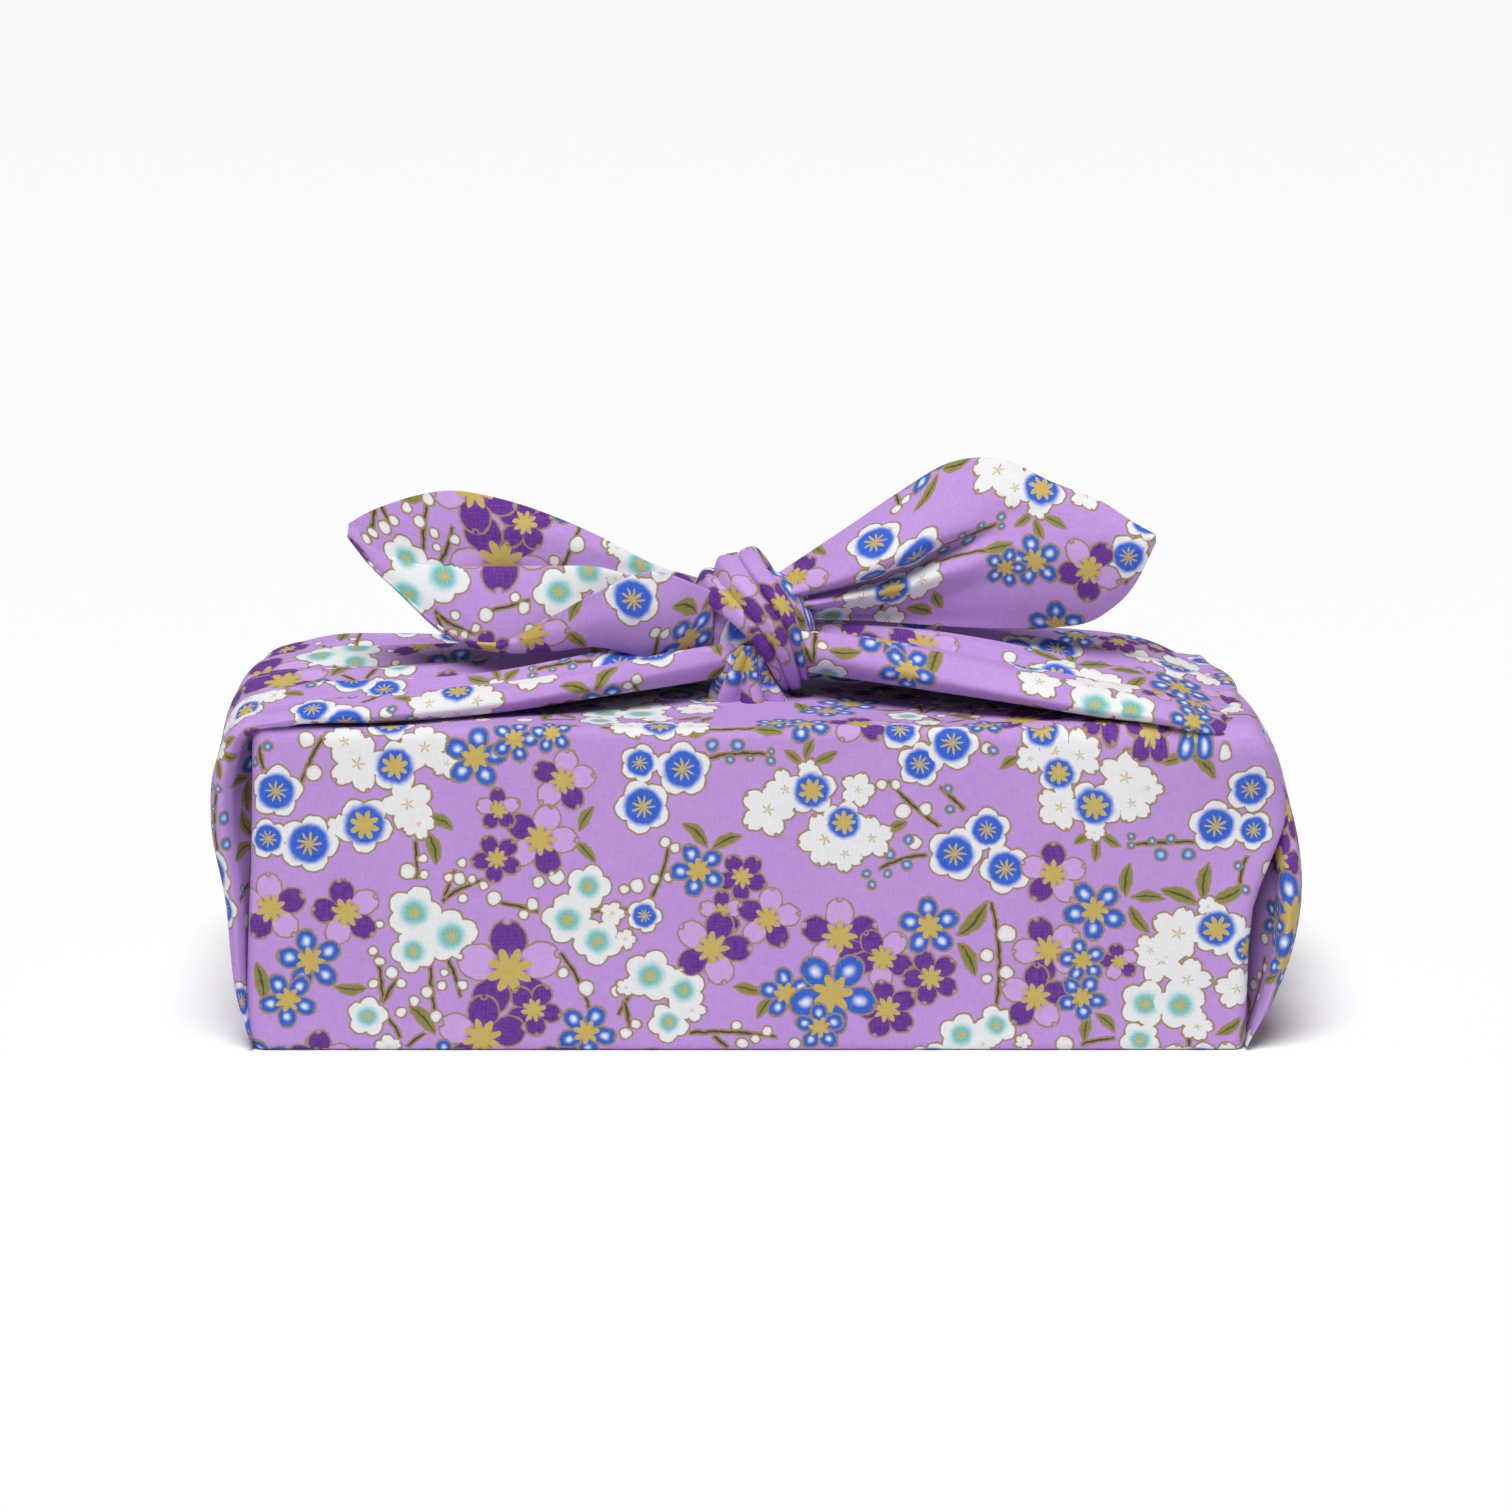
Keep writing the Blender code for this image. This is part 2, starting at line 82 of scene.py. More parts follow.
chart = {
    "plumBlue": (
        (276, 790, 28, 10), (267, 837, 22, 30), (308, 842, 31, 0), (640, 762, 21, 0), (683, 768, 29, 20),
        (643, 805, 29, 40), (920, 763, 24, 10), (952, 742, 28, 0), (900, 727, 24, 30), (955, 852, 29, 0),
        (988, 828, 24, 20), (1006, 867, 27, 40), (1254, 778, 27, 0), (1218, 815, 29, 20),
        (1258, 822, 22, 50), (644, 914, 19, 0),
    ),
    "plumMint": (
        (588, 885, 24, 0), (567, 918, 27, 30), (597, 940, 26, 50), (413, 911, 29, 0), (450, 935, 29, 20),
        (412, 950, 24, 40), (365, 1017, 22, 10), (650, 975, 28, 0), (683, 990, 24, 30), (668, 1023, 22, 50),
        (963, 1036, 24, 10), (998, 1026, 22, 40), (1148, 1002, 27, 0), (1183, 1003, 28, 30),
        (1143, 1041, 22, 50),
    ),
    "starPlum": (
        (395, 765, 27, 18), (364, 823, 30, -18), (390, 716, 26, 0), (812, 789, 26, 18), (844, 821, 24, 0),
        (1042, 727, 24, 0), (1059, 768, 23, 0), (1095, 798, 28, 54), (1219, 922, 28, 18), (1252, 945, 22, 0),
        (660, 716, 26, 0),
    ),
    "white": (
        (358, 762, 31, 0), (345, 740, 22, 30), (425, 746, 27, 20), (408, 803, 28, 40), (447, 762, 17, 0),
        (418, 822, 18, 0), (338, 825, 14, 0), (430, 925, 15, 0), (315, 1049, 15, 0), (385, 1049, 15, 20),
        (625, 938, 12, 0), (612, 912, 14, 0), (625, 987, 11, 0), (692, 1010, 15, 0), (768, 808, 29, 0),
        (785, 788, 22, 30), (825, 838, 28, 40), (858, 788, 19, 0), (872, 836, 23, 20), (845, 852, 20, 50),
        (808, 768, 12, 0), (985, 1045, 14, 0), (1025, 1043, 10, 0), (1055, 746, 25, 0), (1080, 748, 24, 30),
        (1126, 766, 29, 10), (1060, 802, 25, 0), (1132, 792, 22, 40), (1148, 776, 18, 0), (1095, 824, 12, 0),
        (1030, 755, 16, 0), (1180, 926, 30, 0), (1163, 955, 28, 30), (1190, 976, 26, 0), (1240, 986, 24, 20),
        (1235, 932, 26, 0), (1152, 945, 19, 50), (1210, 898, 12, 0), (1200, 1026, 18, 0), (630, 716, 24, 0),
        (690, 714, 24, 30),
    ),
    "bud": (
        (307, 738, 8), (314, 771, 8), (407, 870, 8), (422, 857, 4.5), (423, 873, 4.5), (538, 880, 6),
        (556, 875, 8), (532, 903, 6), (523, 913, 5), (493, 897, 7), (461, 861, 4.5), (459, 877, 6),
        (448, 876, 4.5), (462, 897, 4.5), (471, 878, 4), (483, 884, 4.5), (440, 985, 5), (425, 992, 6),
        (461, 985, 5), (443, 972, 4), (371, 950, 4.5), (378, 960, 5), (390, 972, 6), (371, 983, 5),
        (399, 983, 5), (378, 923, 4), (412, 1001, 5), (399, 1013, 5.5), (434, 1017, 6), (562, 972, 5.5),
        (585, 988, 8), (665, 840, 5.5), (675, 846, 5), (654, 877, 5), (668, 875, 5), (624, 888, 5),
        (637, 884, 7), (625, 1034, 6), (635, 1025, 5), (736, 1026, 5), (767, 1032, 5), (755, 1040, 4.5),
        (742, 1045, 6), (795, 1045, 6), (882, 783, 5), (896, 783, 5), (903, 809, 8), (926, 807, 6),
        (915, 841, 7), (1008, 932, 9), (988, 955, 7), (1008, 972, 7), (988, 978, 5), (1067, 1046, 9),
        (987, 747, 6), (1226, 740, 6), (1275, 862, 8), (1268, 905, 7), (616, 991, 6),
    ),
    "blueBud": (
        (268, 745, 5), (253, 758, 5), (712, 744, 6.5), (738, 744, 6.5), (730, 758, 4.5), (750, 757, 3.5),
        (771, 750, 3.5), (771, 760, 4.5), (948, 787, 4.5), (950, 808, 4.5), (890, 852, 5.5), (907, 863, 5),
        (888, 872, 4), (867, 872, 4.5), (872, 883, 4.5), (993, 749, 5), (1132, 826, 4), (1132, 836, 4),
        (1153, 830, 3.5), (1172, 827, 4.5), (1162, 844, 6.5), (1190, 844, 6.5), (1241, 857, 4.5),
        (1248, 882, 4.5), (909, 838, 4.5),
    ),
    "cobalt": (
        (476, 756, 33, 10), (515, 738, 25, 0), (552, 732, 22, 30), (308, 960, 34, 100), (285, 1000, 30, 50),
        (585, 1033, 31, 60), (698, 868, 29, 40), (786, 993, 28, 25), (833, 993, 46, 55), (820, 1028, 26, 20),
        (930, 925, 32, 95), (1096, 905, 33, 50), (1084, 958, 25, 30), (1084, 996, 26, 60),
        (1195, 724, 26, 20), (805, 716, 28, 40), (775, 708, 22, 0), (985, 712, 24, 20),
    ),
    "cherry": (
        (563, 779, 33, 10, 0.4), (540, 838, 38, 0, 0.4), (498, 808, 23, 20, 2.4), (496, 857, 26, 45, 10),
        (345, 911, 36, 30, 1.4), (269, 907, 37, 22, 4.1), (508, 970, 54, 20, 1.6), (532, 1010, 29, 60, 10),
        (480, 1039, 46, 15, 3.2), (742, 875, 26, 50, 10), (722, 911, 24, 20, 2), (768, 917, 33, 10, 0.6),
        (712, 947, 40, 0, 3.4), (840, 935, 40, 90, 2.2), (883, 957, 33, 50, 1.2), (932, 977, 30, 40, 10),
        (888, 1010, 32, 30, 12), (1054, 870, 34, 90, 5.4), (1050, 948, 37, 40, 2.8), (1121, 958, 21, 30, 1),
        (1037, 997, 36, 15, 3.6), (1150, 727, 26, 20, 10), (1105, 714, 26, 0, 10), (860, 712, 34, 20, 1.4),
    ),
    "leaf": (
        (440, 820, 15, -32, 0.12), (431, 846, 18, -75, 0.15), (586, 817, 14, 60, 0.12),
        (585, 850, 14, -45, 0.1), (348, 987, 16, -3, -0.15), (257, 982, 20, -80, 0.1),
        (420, 1020, 20, -50, 0.12), (695, 833, 17, -45, 0.2), (727, 840, 16, 25, 0.18),
        (748, 990, 15, -15, 0.1), (765, 1008, 14, 55, 0.12), (793, 756, 11, -40, 0.1),
        (809, 748, 11, 70, 0.1), (825, 756, 13, 25, -0.1), (897, 826, 12, 30, 0.12),
        (973, 918, 23, 50, -0.15), (968, 958, 19, -65, 0.15), (1085, 832, 12, 25, 0.12),
        (1096, 842, 12, -90, 0.08), (1112, 831, 12, -35, -0.1), (1010, 760, 12, 35, 0.1),
        (1172, 744, 13, 20, -0.12), (1205, 751, 18, -50, 0.12), (1129, 872, 18, 85, 0.14),
        (1149, 890, 17, 0, 0.14), (1141, 913, 17, -55, -0.14), (1089, 1029, 14, 80, 0.1),
        (1108, 1022, 14, -45, 0.14), (1181, 888, 20, -22, 0.14), (1208, 872, 20, 82, 0.14),
        (1231, 885, 19, 25, -0.14), (1232, 1027, 15, 35, -0.14), (1250, 1034, 13, 70, 0.1),
        (697, 732, 13, 10, 0.1), (768, 730, 15, -8, 0.1), (930, 716, 16, 20, 0.1), (565, 722, 14, 5, 0.1),
    ),
    "twig": (
        (314, 757, 31, 63, 0.08), (262, 756, 13, 100, 0.1), (415, 858, 20, -88, 0.06),
        (516, 906, 22, -14, 0.08), (462, 889, 24, 27, 0.1), (449, 882, 15, 68, 0.05),
        (452, 977, 22, -72, 0.08), (431, 990, 26, 95, 0.05), (376, 974, 30, -82, 0.08),
        (388, 990, 14, 60, 0.05), (392, 1029, 12, -60, 0.05), (413, 1041, 12, 40, 0.05),
        (574, 980, 33, -64, 0.1), (736, 755, 30, 4, 0.1), (660, 870, 28, 72, -0.08), (613, 909, 20, 2, 0.05),
        (624, 1004, 14, 60, 0.05), (626, 1015, 14, -78, 0.05), (733, 1036, 44, -3, 0.08),
        (720, 1043, 10, -42, 0.05), (914, 802, 35, -42, -0.06), (952, 797, 17, -44, 0.06),
        (903, 860, 25, 17, 0.12), (995, 953, 54, 93, -0.1), (1165, 833, 32, 4, 0.06),
        (1246, 862, 15, 74, 0.06), (1101, 1042, 17, 12, 0.05), (1193, 1040, 13, 90, 0.05),
        (730, 728, 34, 2, 0.05), (620, 730, 20, -20, 0.1), (905, 715, 18, -60, 0.1),
        (1040, 738, 18, 10, 0.05),
    ),
}
printRepeat = {               # guessed, as the photograph shows about one repeat
    "across": 288.0,
    "drop": (144.0, 96.0),   # the next row starts here, a half drop
}
printLayers = 6


def motifTable():
    # every motif of the repeat as a row: kind, x, y, size, turn, mix, with the chart's pixels made mm by
    # place + (pixel - the reference pixel) * mm a pixel. Later rows lie over earlier ones
    (columnAt, rowAt), (left, low) = chartReading["pixel"], chartReading["place"]
    rows = []
    for kind in drawnOrder:
        outline = chartReading["outline"].get(kind, chartReading["flowerOutline"])
        for column, row, reach, *more in chart[kind]:
            turn, mix = (*more, 0, 0)[:2]
            x = left + (column - columnAt) * chartReading["across"]
            y = low + (rowAt - row) * chartReading["up"]
            size = (reach - outline) * chartReading["across"]
            rows.append((kinds.index(kind), x, y, size, math.radians(turn), mix))
    return np.array(rows)


def smoothTable(stations, values, wanted):
    # reads a table between its stations on a smooth curve: on each span a cubic with its neighbours' slopes
    stations, values = np.asarray(stations, float), np.asarray(values, float)
    wanted = np.asarray(wanted, float)
    slopes = np.gradient(values, stations, axis=0)
    spot = np.clip(np.searchsorted(stations, wanted, side="right") - 1, 0, len(stations) - 2)
    span = stations[spot + 1] - stations[spot]
    t = (wanted - stations[spot]) / span
    if values.ndim > 1:
        t, span = t[:, None], span[:, None]
    start, end = values[spot], values[spot + 1]
    return ((2 * t**3 - 3 * t**2 + 1) * start + (t**3 - 2 * t**2 + t) * slopes[spot] * span
            + (3 * t**2 - 2 * t**3) * end + (t**3 - t**2) * slopes[spot + 1] * span)


def ease(x, low, high):
    # 0 below low, 1 above high, and 3t^2 - 2t^3 between them
    t = np.clip((x - low) / (high - low), 0, 1)
    return t * t * (3 - 2 * t)


def softBack(x, y, z):
    # the back top corners give way: the shift grows smoothly towards the corner along x, y and z
    corner = ease(y, 8, 48) * ease(z, 20, 88)
    left, right = corner * ease(-x, 92, 140), corner * ease(x, 92, 140)
    (leftIn, leftDown), (rightIn, rightDown) = bundle["backLeft"], bundle["backRight"]
    return x + leftIn * left - rightIn * right, z - leftDown * left - rightDown * right


def lengthsAlong(points, axis):
    # the running length of the grid's lines along one axis, starting at 0
    steps = np.linalg.norm(np.diff(points, axis=axis), axis=2)
    pad = [(0, 0), (0, 0)]
    pad[axis] = (1, 0)
    return np.cumsum(np.pad(steps, pad), axis=axis)


def faceCorners(values, wrap=False):
    # the four corner values of every face of a grid, in the order the faces list them
    if wrap:
        values = np.concatenate([values, values[:, :1]], axis=1)
    return np.stack([values[:-1, :-1], values[:-1, 1:], values[1:, 1:], values[1:, :-1]], axis=2)


def motifsFor(centres, motifs):
    # for each face the motifs that reach it, lowest first: a face is in a motif's reach where its centre,
    # moved into the repeat, is nearer than the motif's size, or inside the box of a leaf or twig
    across, (dropX, dropY) = printRepeat["across"], printRepeat["drop"]
    reach = 1.6
    picked = np.full((len(centres), printLayers), -1)
    places = np.zeros((len(centres), printLayers, 2))
    filled = np.zeros(len(centres), int)
    for number in range(len(motifs) - 1, -1, -1):
        kind, x, y, size, turn, _ = motifs[number]
        dx, dy = centres[:, 0] - x, centres[:, 1] - y
        rows = np.round(dy / dropY)
        best = None
        for near in (-1, 0, 1):
            ry = dy - (rows + near) * dropY
            rx = dx - (rows + near) * dropX
            rx = rx - np.round(rx / across) * across
            far = np.hypot(rx, ry)
            if best is None:
                best, bx, by = far, rx, ry
            else:
                closer = far < best
                best, bx, by = np.where(closer, far, best), np.where(closer, rx, bx), np.where(closer, ry, by)
        if kind >= kinds.index("leaf"):
            c, s = math.cos(turn), math.sin(turn)
            along, aside = bx * c + by * s, by * c - bx * s
            hit = (np.abs(along) < size + reach) & (np.abs(aside) < size * 0.36 + reach)
        else:
            hit = best < size + reach
        hit &= filled < printLayers
        faces = np.nonzero(hit)[0]
        picked[faces, filled[faces]] = number
        places[faces, filled[faces], 0] = centres[faces, 0] - bx[faces]
        places[faces, filled[faces], 1] = centres[faces, 1] - by[faces]
        filled[faces] += 1
    return picked, places


def printOn(mesh, corners):
    # writes the cloth's own plane, in metres, as a UV map, and each face's motifs as two vectors a layer
    plane = mesh.uv_layers.new(name="clothPlane")
    plane.data.foreach_set("uv", (corners * mm).reshape(-1).astype(np.float32))
    motifs = motifTable()
    picked, places = motifsFor(corners.mean(axis=1), motifs)
    for layer in range(printLayers):
        number = picked[:, printLayers - 1 - layer]
        none = number < 0
        spot = places[:, printLayers - 1 - layer] * mm
        row = motifs[number]
        where = np.column_stack([spot, row[:, 0]])
        form = np.column_stack([row[:, 3] * mm, row[:, 4], row[:, 5]])
        where[none] = (-9.0, -9.0, 5.0)
        form[none] = (0.001, 0.0, 0.0)
        for tag, values in (("motifPlace", where), ("motifForm", form)):
            data = mesh.attributes.new(f"{tag}{layer}", "FLOAT_VECTOR", "FACE").data
            data.foreach_set("vector", values.reshape(-1).astype(np.float32))


def clothPiece(name, grid, plane, wrap=False, outwards=None):
    # a grid of points in mm made a mesh: face (i, j) joins rows i, i+1 and columns j, j+1, and where wrap is
    # set the last column joins the first. plane gives each face corner's place on the flat cloth
    rows, columns = grid.shape[:2]
    index = np.arange(rows * columns).reshape(rows, columns)
    faces = faceCorners(index, wrap).reshape(-1, 4)
    corners = plane.reshape(-1, 4, 2)
    points = grid.reshape(-1, 3)
    a, b, c, d = (points[faces[:, k]] for k in range(4))
    normals = np.cross(c - a, d - b)
    outer = (normals * ((a + c) / 2 - (outwards if outwards is not None else points.mean(axis=0)))).sum()
    if outer < 0:
        faces, corners = faces[:, ::-1], corners[:, ::-1]
    mesh = bpy.data.meshes.new(name)
    mesh.vertices.add(len(points))
    mesh.vertices.foreach_set("co", (points * mm).reshape(-1).astype(np.float32))
    mesh.loops.add(faces.size)
    mesh.loops.foreach_set("vertex_index", faces.reshape(-1))
    mesh.polygons.add(len(faces))
    mesh.polygons.foreach_set("loop_start", np.arange(0, faces.size, 4))
    mesh.update(calc_edges=True)
    printOn(mesh, corners)
    mesh.shade_smooth()
    piece = bpy.data.objects.new(name, mesh)
    bpy.context.scene.collection.objects.link(piece)
    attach(piece, "root")
    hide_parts(clothNode)
    return piece


def thicken(piece, thick):
    # gives a sheet its thickness, half to each side, with a closed rim
    solidify = piece.modifiers.new("cloth thickness", "SOLIDIFY")
    solidify.thickness = thick * mm
    solidify.offset = 0
    return piece


def boxCloth():
    # the cloth on the box: a tube round x. Each section is a rectangle with round corners, walked as
    # point = corner centre + radius * (cos, sin), and pushed out along that same direction by the fullness
    half, top = bundle["depth"] / 2, bundle["height"]
    end, turn = bundle["length"] / 2, bundle["edgeRound"]
    arcs = np.linspace(0, np.pi / 2, 7)
    inward = [(end - 0.2, 12), (end, 9), (end, 6)]
    rounding = [(end - turn * (1 - math.cos(a)), turn * (1 - math.sin(a))) for a in arcs]
    endRows = np.array(inward + rounding)
    middle = np.linspace(-end + turn, end - turn, 172)[1:-1]
    x = np.concatenate([-endRows[:, 0], middle, endRows[::-1, 0]])
    inset = np.concatenate([endRows[:, 1], 0 * middle, endRows[::-1, 1]])[:, None]
    x = x[:, None]

    step = 1 - bundle["flapDrop"] / top
    downBack = np.concatenate([np.linspace(1, step + 0.004, 14), np.linspace(step, 0, 36)])
    # the front, top, back and bottom in turn, each with the corner after it: shares, place, angle
    sides = (
        (np.linspace(0, 1, 50), "front", math.pi),
        (None, (0, 1), math.pi),
        (np.linspace(0, 1, 58), "top", math.pi / 2),
        (None, (1, 1), math.pi / 2),
        (downBack, "back", 0),
        (None, (1, 0), 0),
        (np.linspace(1, 0, 40), "bottom", -math.pi / 2),
        (None, (0, 0), -math.pi / 2),
    )
    across, up, angle = [], [], []
    for share, place, start in sides:
        if share is None:
            angle.append(start - arcs[1:-1])
            across.append(np.full(len(arcs) - 2, float(place[0])))
            up.append(np.full(len(arcs) - 2, float(place[1])))
            continue
        angle.append(np.full(len(share), start))
        across.append({"front": 0 * share, "back": 0 * share + 1}.get(place, share))
        up.append({"top": 0 * share + 1, "bottom": 0 * share}.get(place, share))
    across, up, angle = (np.concatenate(part)[None, :] for part in (across, up, angle))

    along = np.abs(x) / end
    soft = ease(x, 60, 122)
    frontRadius = turn + (bundle["softCorner"] - turn) * soft
    radiusTop = frontRadius * (1 - across) + turn * across
    lowRadius = 2.2
    ca, sa = np.cos(angle), np.sin(angle)
    y = (-half + inset + radiusTop) * (1 - across) + (half - inset - radiusTop) * across
    lowY = (-half + inset + lowRadius) * (1 - across) + (half - inset - lowRadius) * across
    y = y * up + lowY * (1 - up) + (radiusTop * up + lowRadius * (1 - up)) * ca
    high = top - inset
    z = (inset + lowRadius * (1 + sa)) * (1 - up) + (high - radiusTop * (1 - sa)) * up
    y, z = np.broadcast_arrays(y, z)
    y, z = y.copy(), z.copy()

    onFront = (1 - across) * np.clip(-ca, 0, 1)
    onTop = up * np.clip(sa, 0, 1)
    onBack = across * np.clip(ca, 0, 1)
    swell = bundle["frontFull"] * 4 * up * (1 - up) * (1 - along**6) * (onFront + 0.8 * onBack)
    # slack in the cloth: long shallow waves down the front, stronger near the ends where the corners pull
    pull = 0.25 + 0.75 * along**4
    swell = swell + onFront * pull * 0.55 * np.sin(x / 17 + 2.2 * up + 0.7) * np.sin(np.pi * up) ** 0.7
    swell = swell + onFront * 0.28 * np.sin(x / 9.5 - 5.0 * up) * ease(up, 0.55, 1.0) * pull
    swell = swell - onTop * bundle["topSag"] * (1 - along**4) * 4 * across * (1 - across)
    swell = swell + onTop * 0.35 * np.sin(x / 13 + 4 * across)
    swell = swell + onBack * 0.4 * np.sin(x / 21 + 3.0 * up) * np.sin(np.pi * up)
    underFlap = (angle == 0) & (up < step + 0.002)
    swell = swell - np.where(underFlap, bundle["flapThick"] * ease(up, 0.0, 0.25), 0)
    swell = swell * (inset < turn + 0.01)
    y, z = y + ca * swell, z + sa * swell
    z = np.maximum(z, 0.0)
    # the front cloth stands out past the ends in an ear, and bends back there
    front = ease(-y, 5, 34)
    leftEar = np.interp(z, *bundle["leftEar"]) * ease(-x, 100, end) * front
    rightEar = np.interp(z, *bundle["rightEar"]) * np.clip((x - 98) / (end - 98), 0, 1) ** 1.8 * front
    hang = np.clip(1 - inset / 30, 0, 1)
    y = y + 8.0 * (rightEar / 12) ** 1.3
    x = x - leftEar * hang + rightEar * hang
    x, z = softBack(x, y, z)
    grid = np.stack([x, y, z], axis=2)

    around = lengthsAlong(np.concatenate([grid[:, -1:], grid], axis=1), 1)[:, 1:]
    around = np.broadcast_to(around[len(around) // 2], around.shape)
    length = lengthsAlong(grid, 0)
    middleRow = len(x) // 2
    # on the flat cloth x runs from the front's left end, and y up from its lower edge
    length = length - length[middleRow:middleRow + 1] + end + grid[middleRow, 0, 0]
    plane = np.stack([length, around - around[0, 0] + lowRadius], axis=2)
    corners = faceCorners(plane, wrap=True)
    corners[:, -1, 1:3, 1] = plane[0, -1, 1] + abs(around[0, -1] - around[0, -2])
    hidden = np.nonzero(underFlap[0])[0][0] - 1
    corners[:, hidden:, :, 1] += bundle["underFlap"]
    # the bottom goes on from the front's lower edge, so its seam is at the back
    under = len(up[0]) - (len(arcs) - 2) - len(sides[6][0])
    corners[:, under:, :, 1] -= corners[0, -1, 1, 1] - lowRadius
    piece = clothPiece("cloth_on_box", grid, corners, wrap=True)
    return piece


# Each arm's middle line from the foot of the end panel over the end and in to the knot, and how much of
# the folds shows there; then its folds from front to back, as in the solid
leftArm = {
    "name": "left_arm",
    "side": -1,
    "path": (
        (133.4, 1.0, 0.12), (136.6, 14.0, 0.55), (138.8, 42.0, 0.85), (141.8, 62.0, 1.0), (141.0, 77.0, 1.0),
        (136.0, 88.6, 0.9), (122.0, 92.4, 0.9), (96.0, 92.8, 1.0), (66.0, 94.0, 1.0), (38.0, 97.0, 0.9),
        (10.0, 100.0, 0.8), (-2.0, 101.0, 0.7),
    ),
    "folds": (
        ("hidden end", -33.0, 2.0, 1.2, -13.0, -9.0, -11.0), ("tuck", -40.0, -1.0, 1.4, -6.2, -5.6, -10.6),
        ("underside", -46.5, -6.0, 1.6, -4.0, -4.4, -8.6), ("nose", -49.6, -8.5, 1.6, -1.2, -0.8, -2.0),
        ("crown", -44.0, -6.5, 1.4, 1.6, 2.8, 3.2), ("crease", -35.0, -3.0, 1.2, -0.2, -0.2, 1.4),
        ("crown", -26.0, 0.5, 1.1, 1.4, 2.6, 4.6), ("crease", -14.0, 3.5, 1.1, -0.4, 0.6, 2.2),
        ("crown", -4.0, 6.5, 1.1, 1.0, 2.8, 4.4), ("crease", 10.0, 8.0, 1.3, -0.5, 0.4, 1.6),
        ("crown", 22.0, 9.6, 1.5, 1.0, 1.8, 3.0), ("crease", 34.0, 10.8, 1.7, -0.2, -0.2, 0.2),
        ("crown", 43.0, 11.8, 1.9, 0.0, 0.2, 0.8), ("nose", 48.6, 12.8, 1.9, -3.4, -3.4, -2.4),
        ("tuck", 41.0, 9.0, 1.9, -6.2, -6.0, -6.0), ("hidden end", 34.0, 2.4, 1.9, -13.0, -9.0, -8.6),
    ),
    "wave": 0.6,
    "setBack": 0.0,
    "clothFrom": (17.0, 230.0),
}
rightArm = {
    "name": "right_arm",
    "side": 1,
    "path": (
        (132.8, 1.0, 0.12), (139.6, 14.0, 0.6), (145.0, 34.0, 0.9), (145.6, 48.0, 1.0), (143.6, 61.0, 1.0),
        (139.6, 72.0, 1.0), (131.5, 84.4, 0.9), (115.0, 91.8, 0.9), (92.0, 95.4, 1.0), (64.0, 99.0, 1.0),
        (38.0, 101.4, 0.9), (10.0, 102.5, 0.7),
    ),
    "folds": (
        ("hidden end", -33.0, 2.0, 1.2, -13.0, -10.0, -12.6), ("tuck", -40.0, -1.0, 1.4, -6.2, -7.6, -12.0),
        ("underside", -46.5, -7.0, 1.6, -4.6, -6.2, -10.0), ("nose", -49.6, -10.0, 1.6, -1.4, -2.6, -2.6),
        ("crown", -42.0, -7.0, 1.3, 1.6, 2.4, 4.4), ("crease", -28.0, -1.5, 1.2, 0.2, 1.6, 4.0),
        ("crown", -16.0, 2.0, 1.1, 1.4, 3.6, 5.6), ("crease", -5.0, 5.0, 1.1, -0.4, 1.4, 3.0),
        ("crown", 7.0, 7.2, 1.2, 1.0, 2.8, 4.0), ("crease", 18.0, 9.2, 1.4, -0.4, 0.2, 1.6),
        ("crown", 30.0, 10.8, 1.7, 0.8, 1.0, 2.2), ("crown", 41.0, 12.0, 1.9, -0.4, -1.2, 0.4),
        ("nose", 47.0, 12.8, 1.9, -3.6, -5.0, -2.6), ("tuck", 40.0, 9.0, 1.9, -6.2, -8.0, -6.0),
        ("hidden end", 33.0, 2.4, 1.9, -13.0, -10.0, -8.6),
    ),
    "wave": 2.1,
    "setBack": 13.0,    # how far its front edge lies behind the front cloth's ear
    "clothFrom": (260.0, 90.0),
}


def rollPlane(run, arc, fine, names, still):
    # each face corner's place on the flat cloth: the run along, and across it the distance from its own
    # roll's crown, so that the cloth between two rolls is hidden in the crease as in the real thing.
    # still(arc at the crowns) says where each crown lies on the flat cloth, row by row
    creases = [-0.5] + [i for i, name in enumerate(names) if name == "crease"] + [len(names)]
    plane = np.zeros((arc.shape[0] - 1, arc.shape[1] - 1, 4, 2))
    middle = (fine[1:] + fine[:-1]) / 2
    for low, high in zip(creases[:-1], creases[1:]):
        crown = [i for i, name in enumerate(names) if low < i < high and name == "crown"]
        crown = crown[len(crown) // 2] if crown else (low + high) / 2
        column = int(np.argmin(np.abs(fine - crown)))
        across = still(arc[:, column])[:, None] + arc - arc[:, column:column + 1]
        inside = (middle > low) & (middle < high)
        plane[:, inside] = faceCorners(np.stack([run, across], axis=2))[:, inside]
    return plane


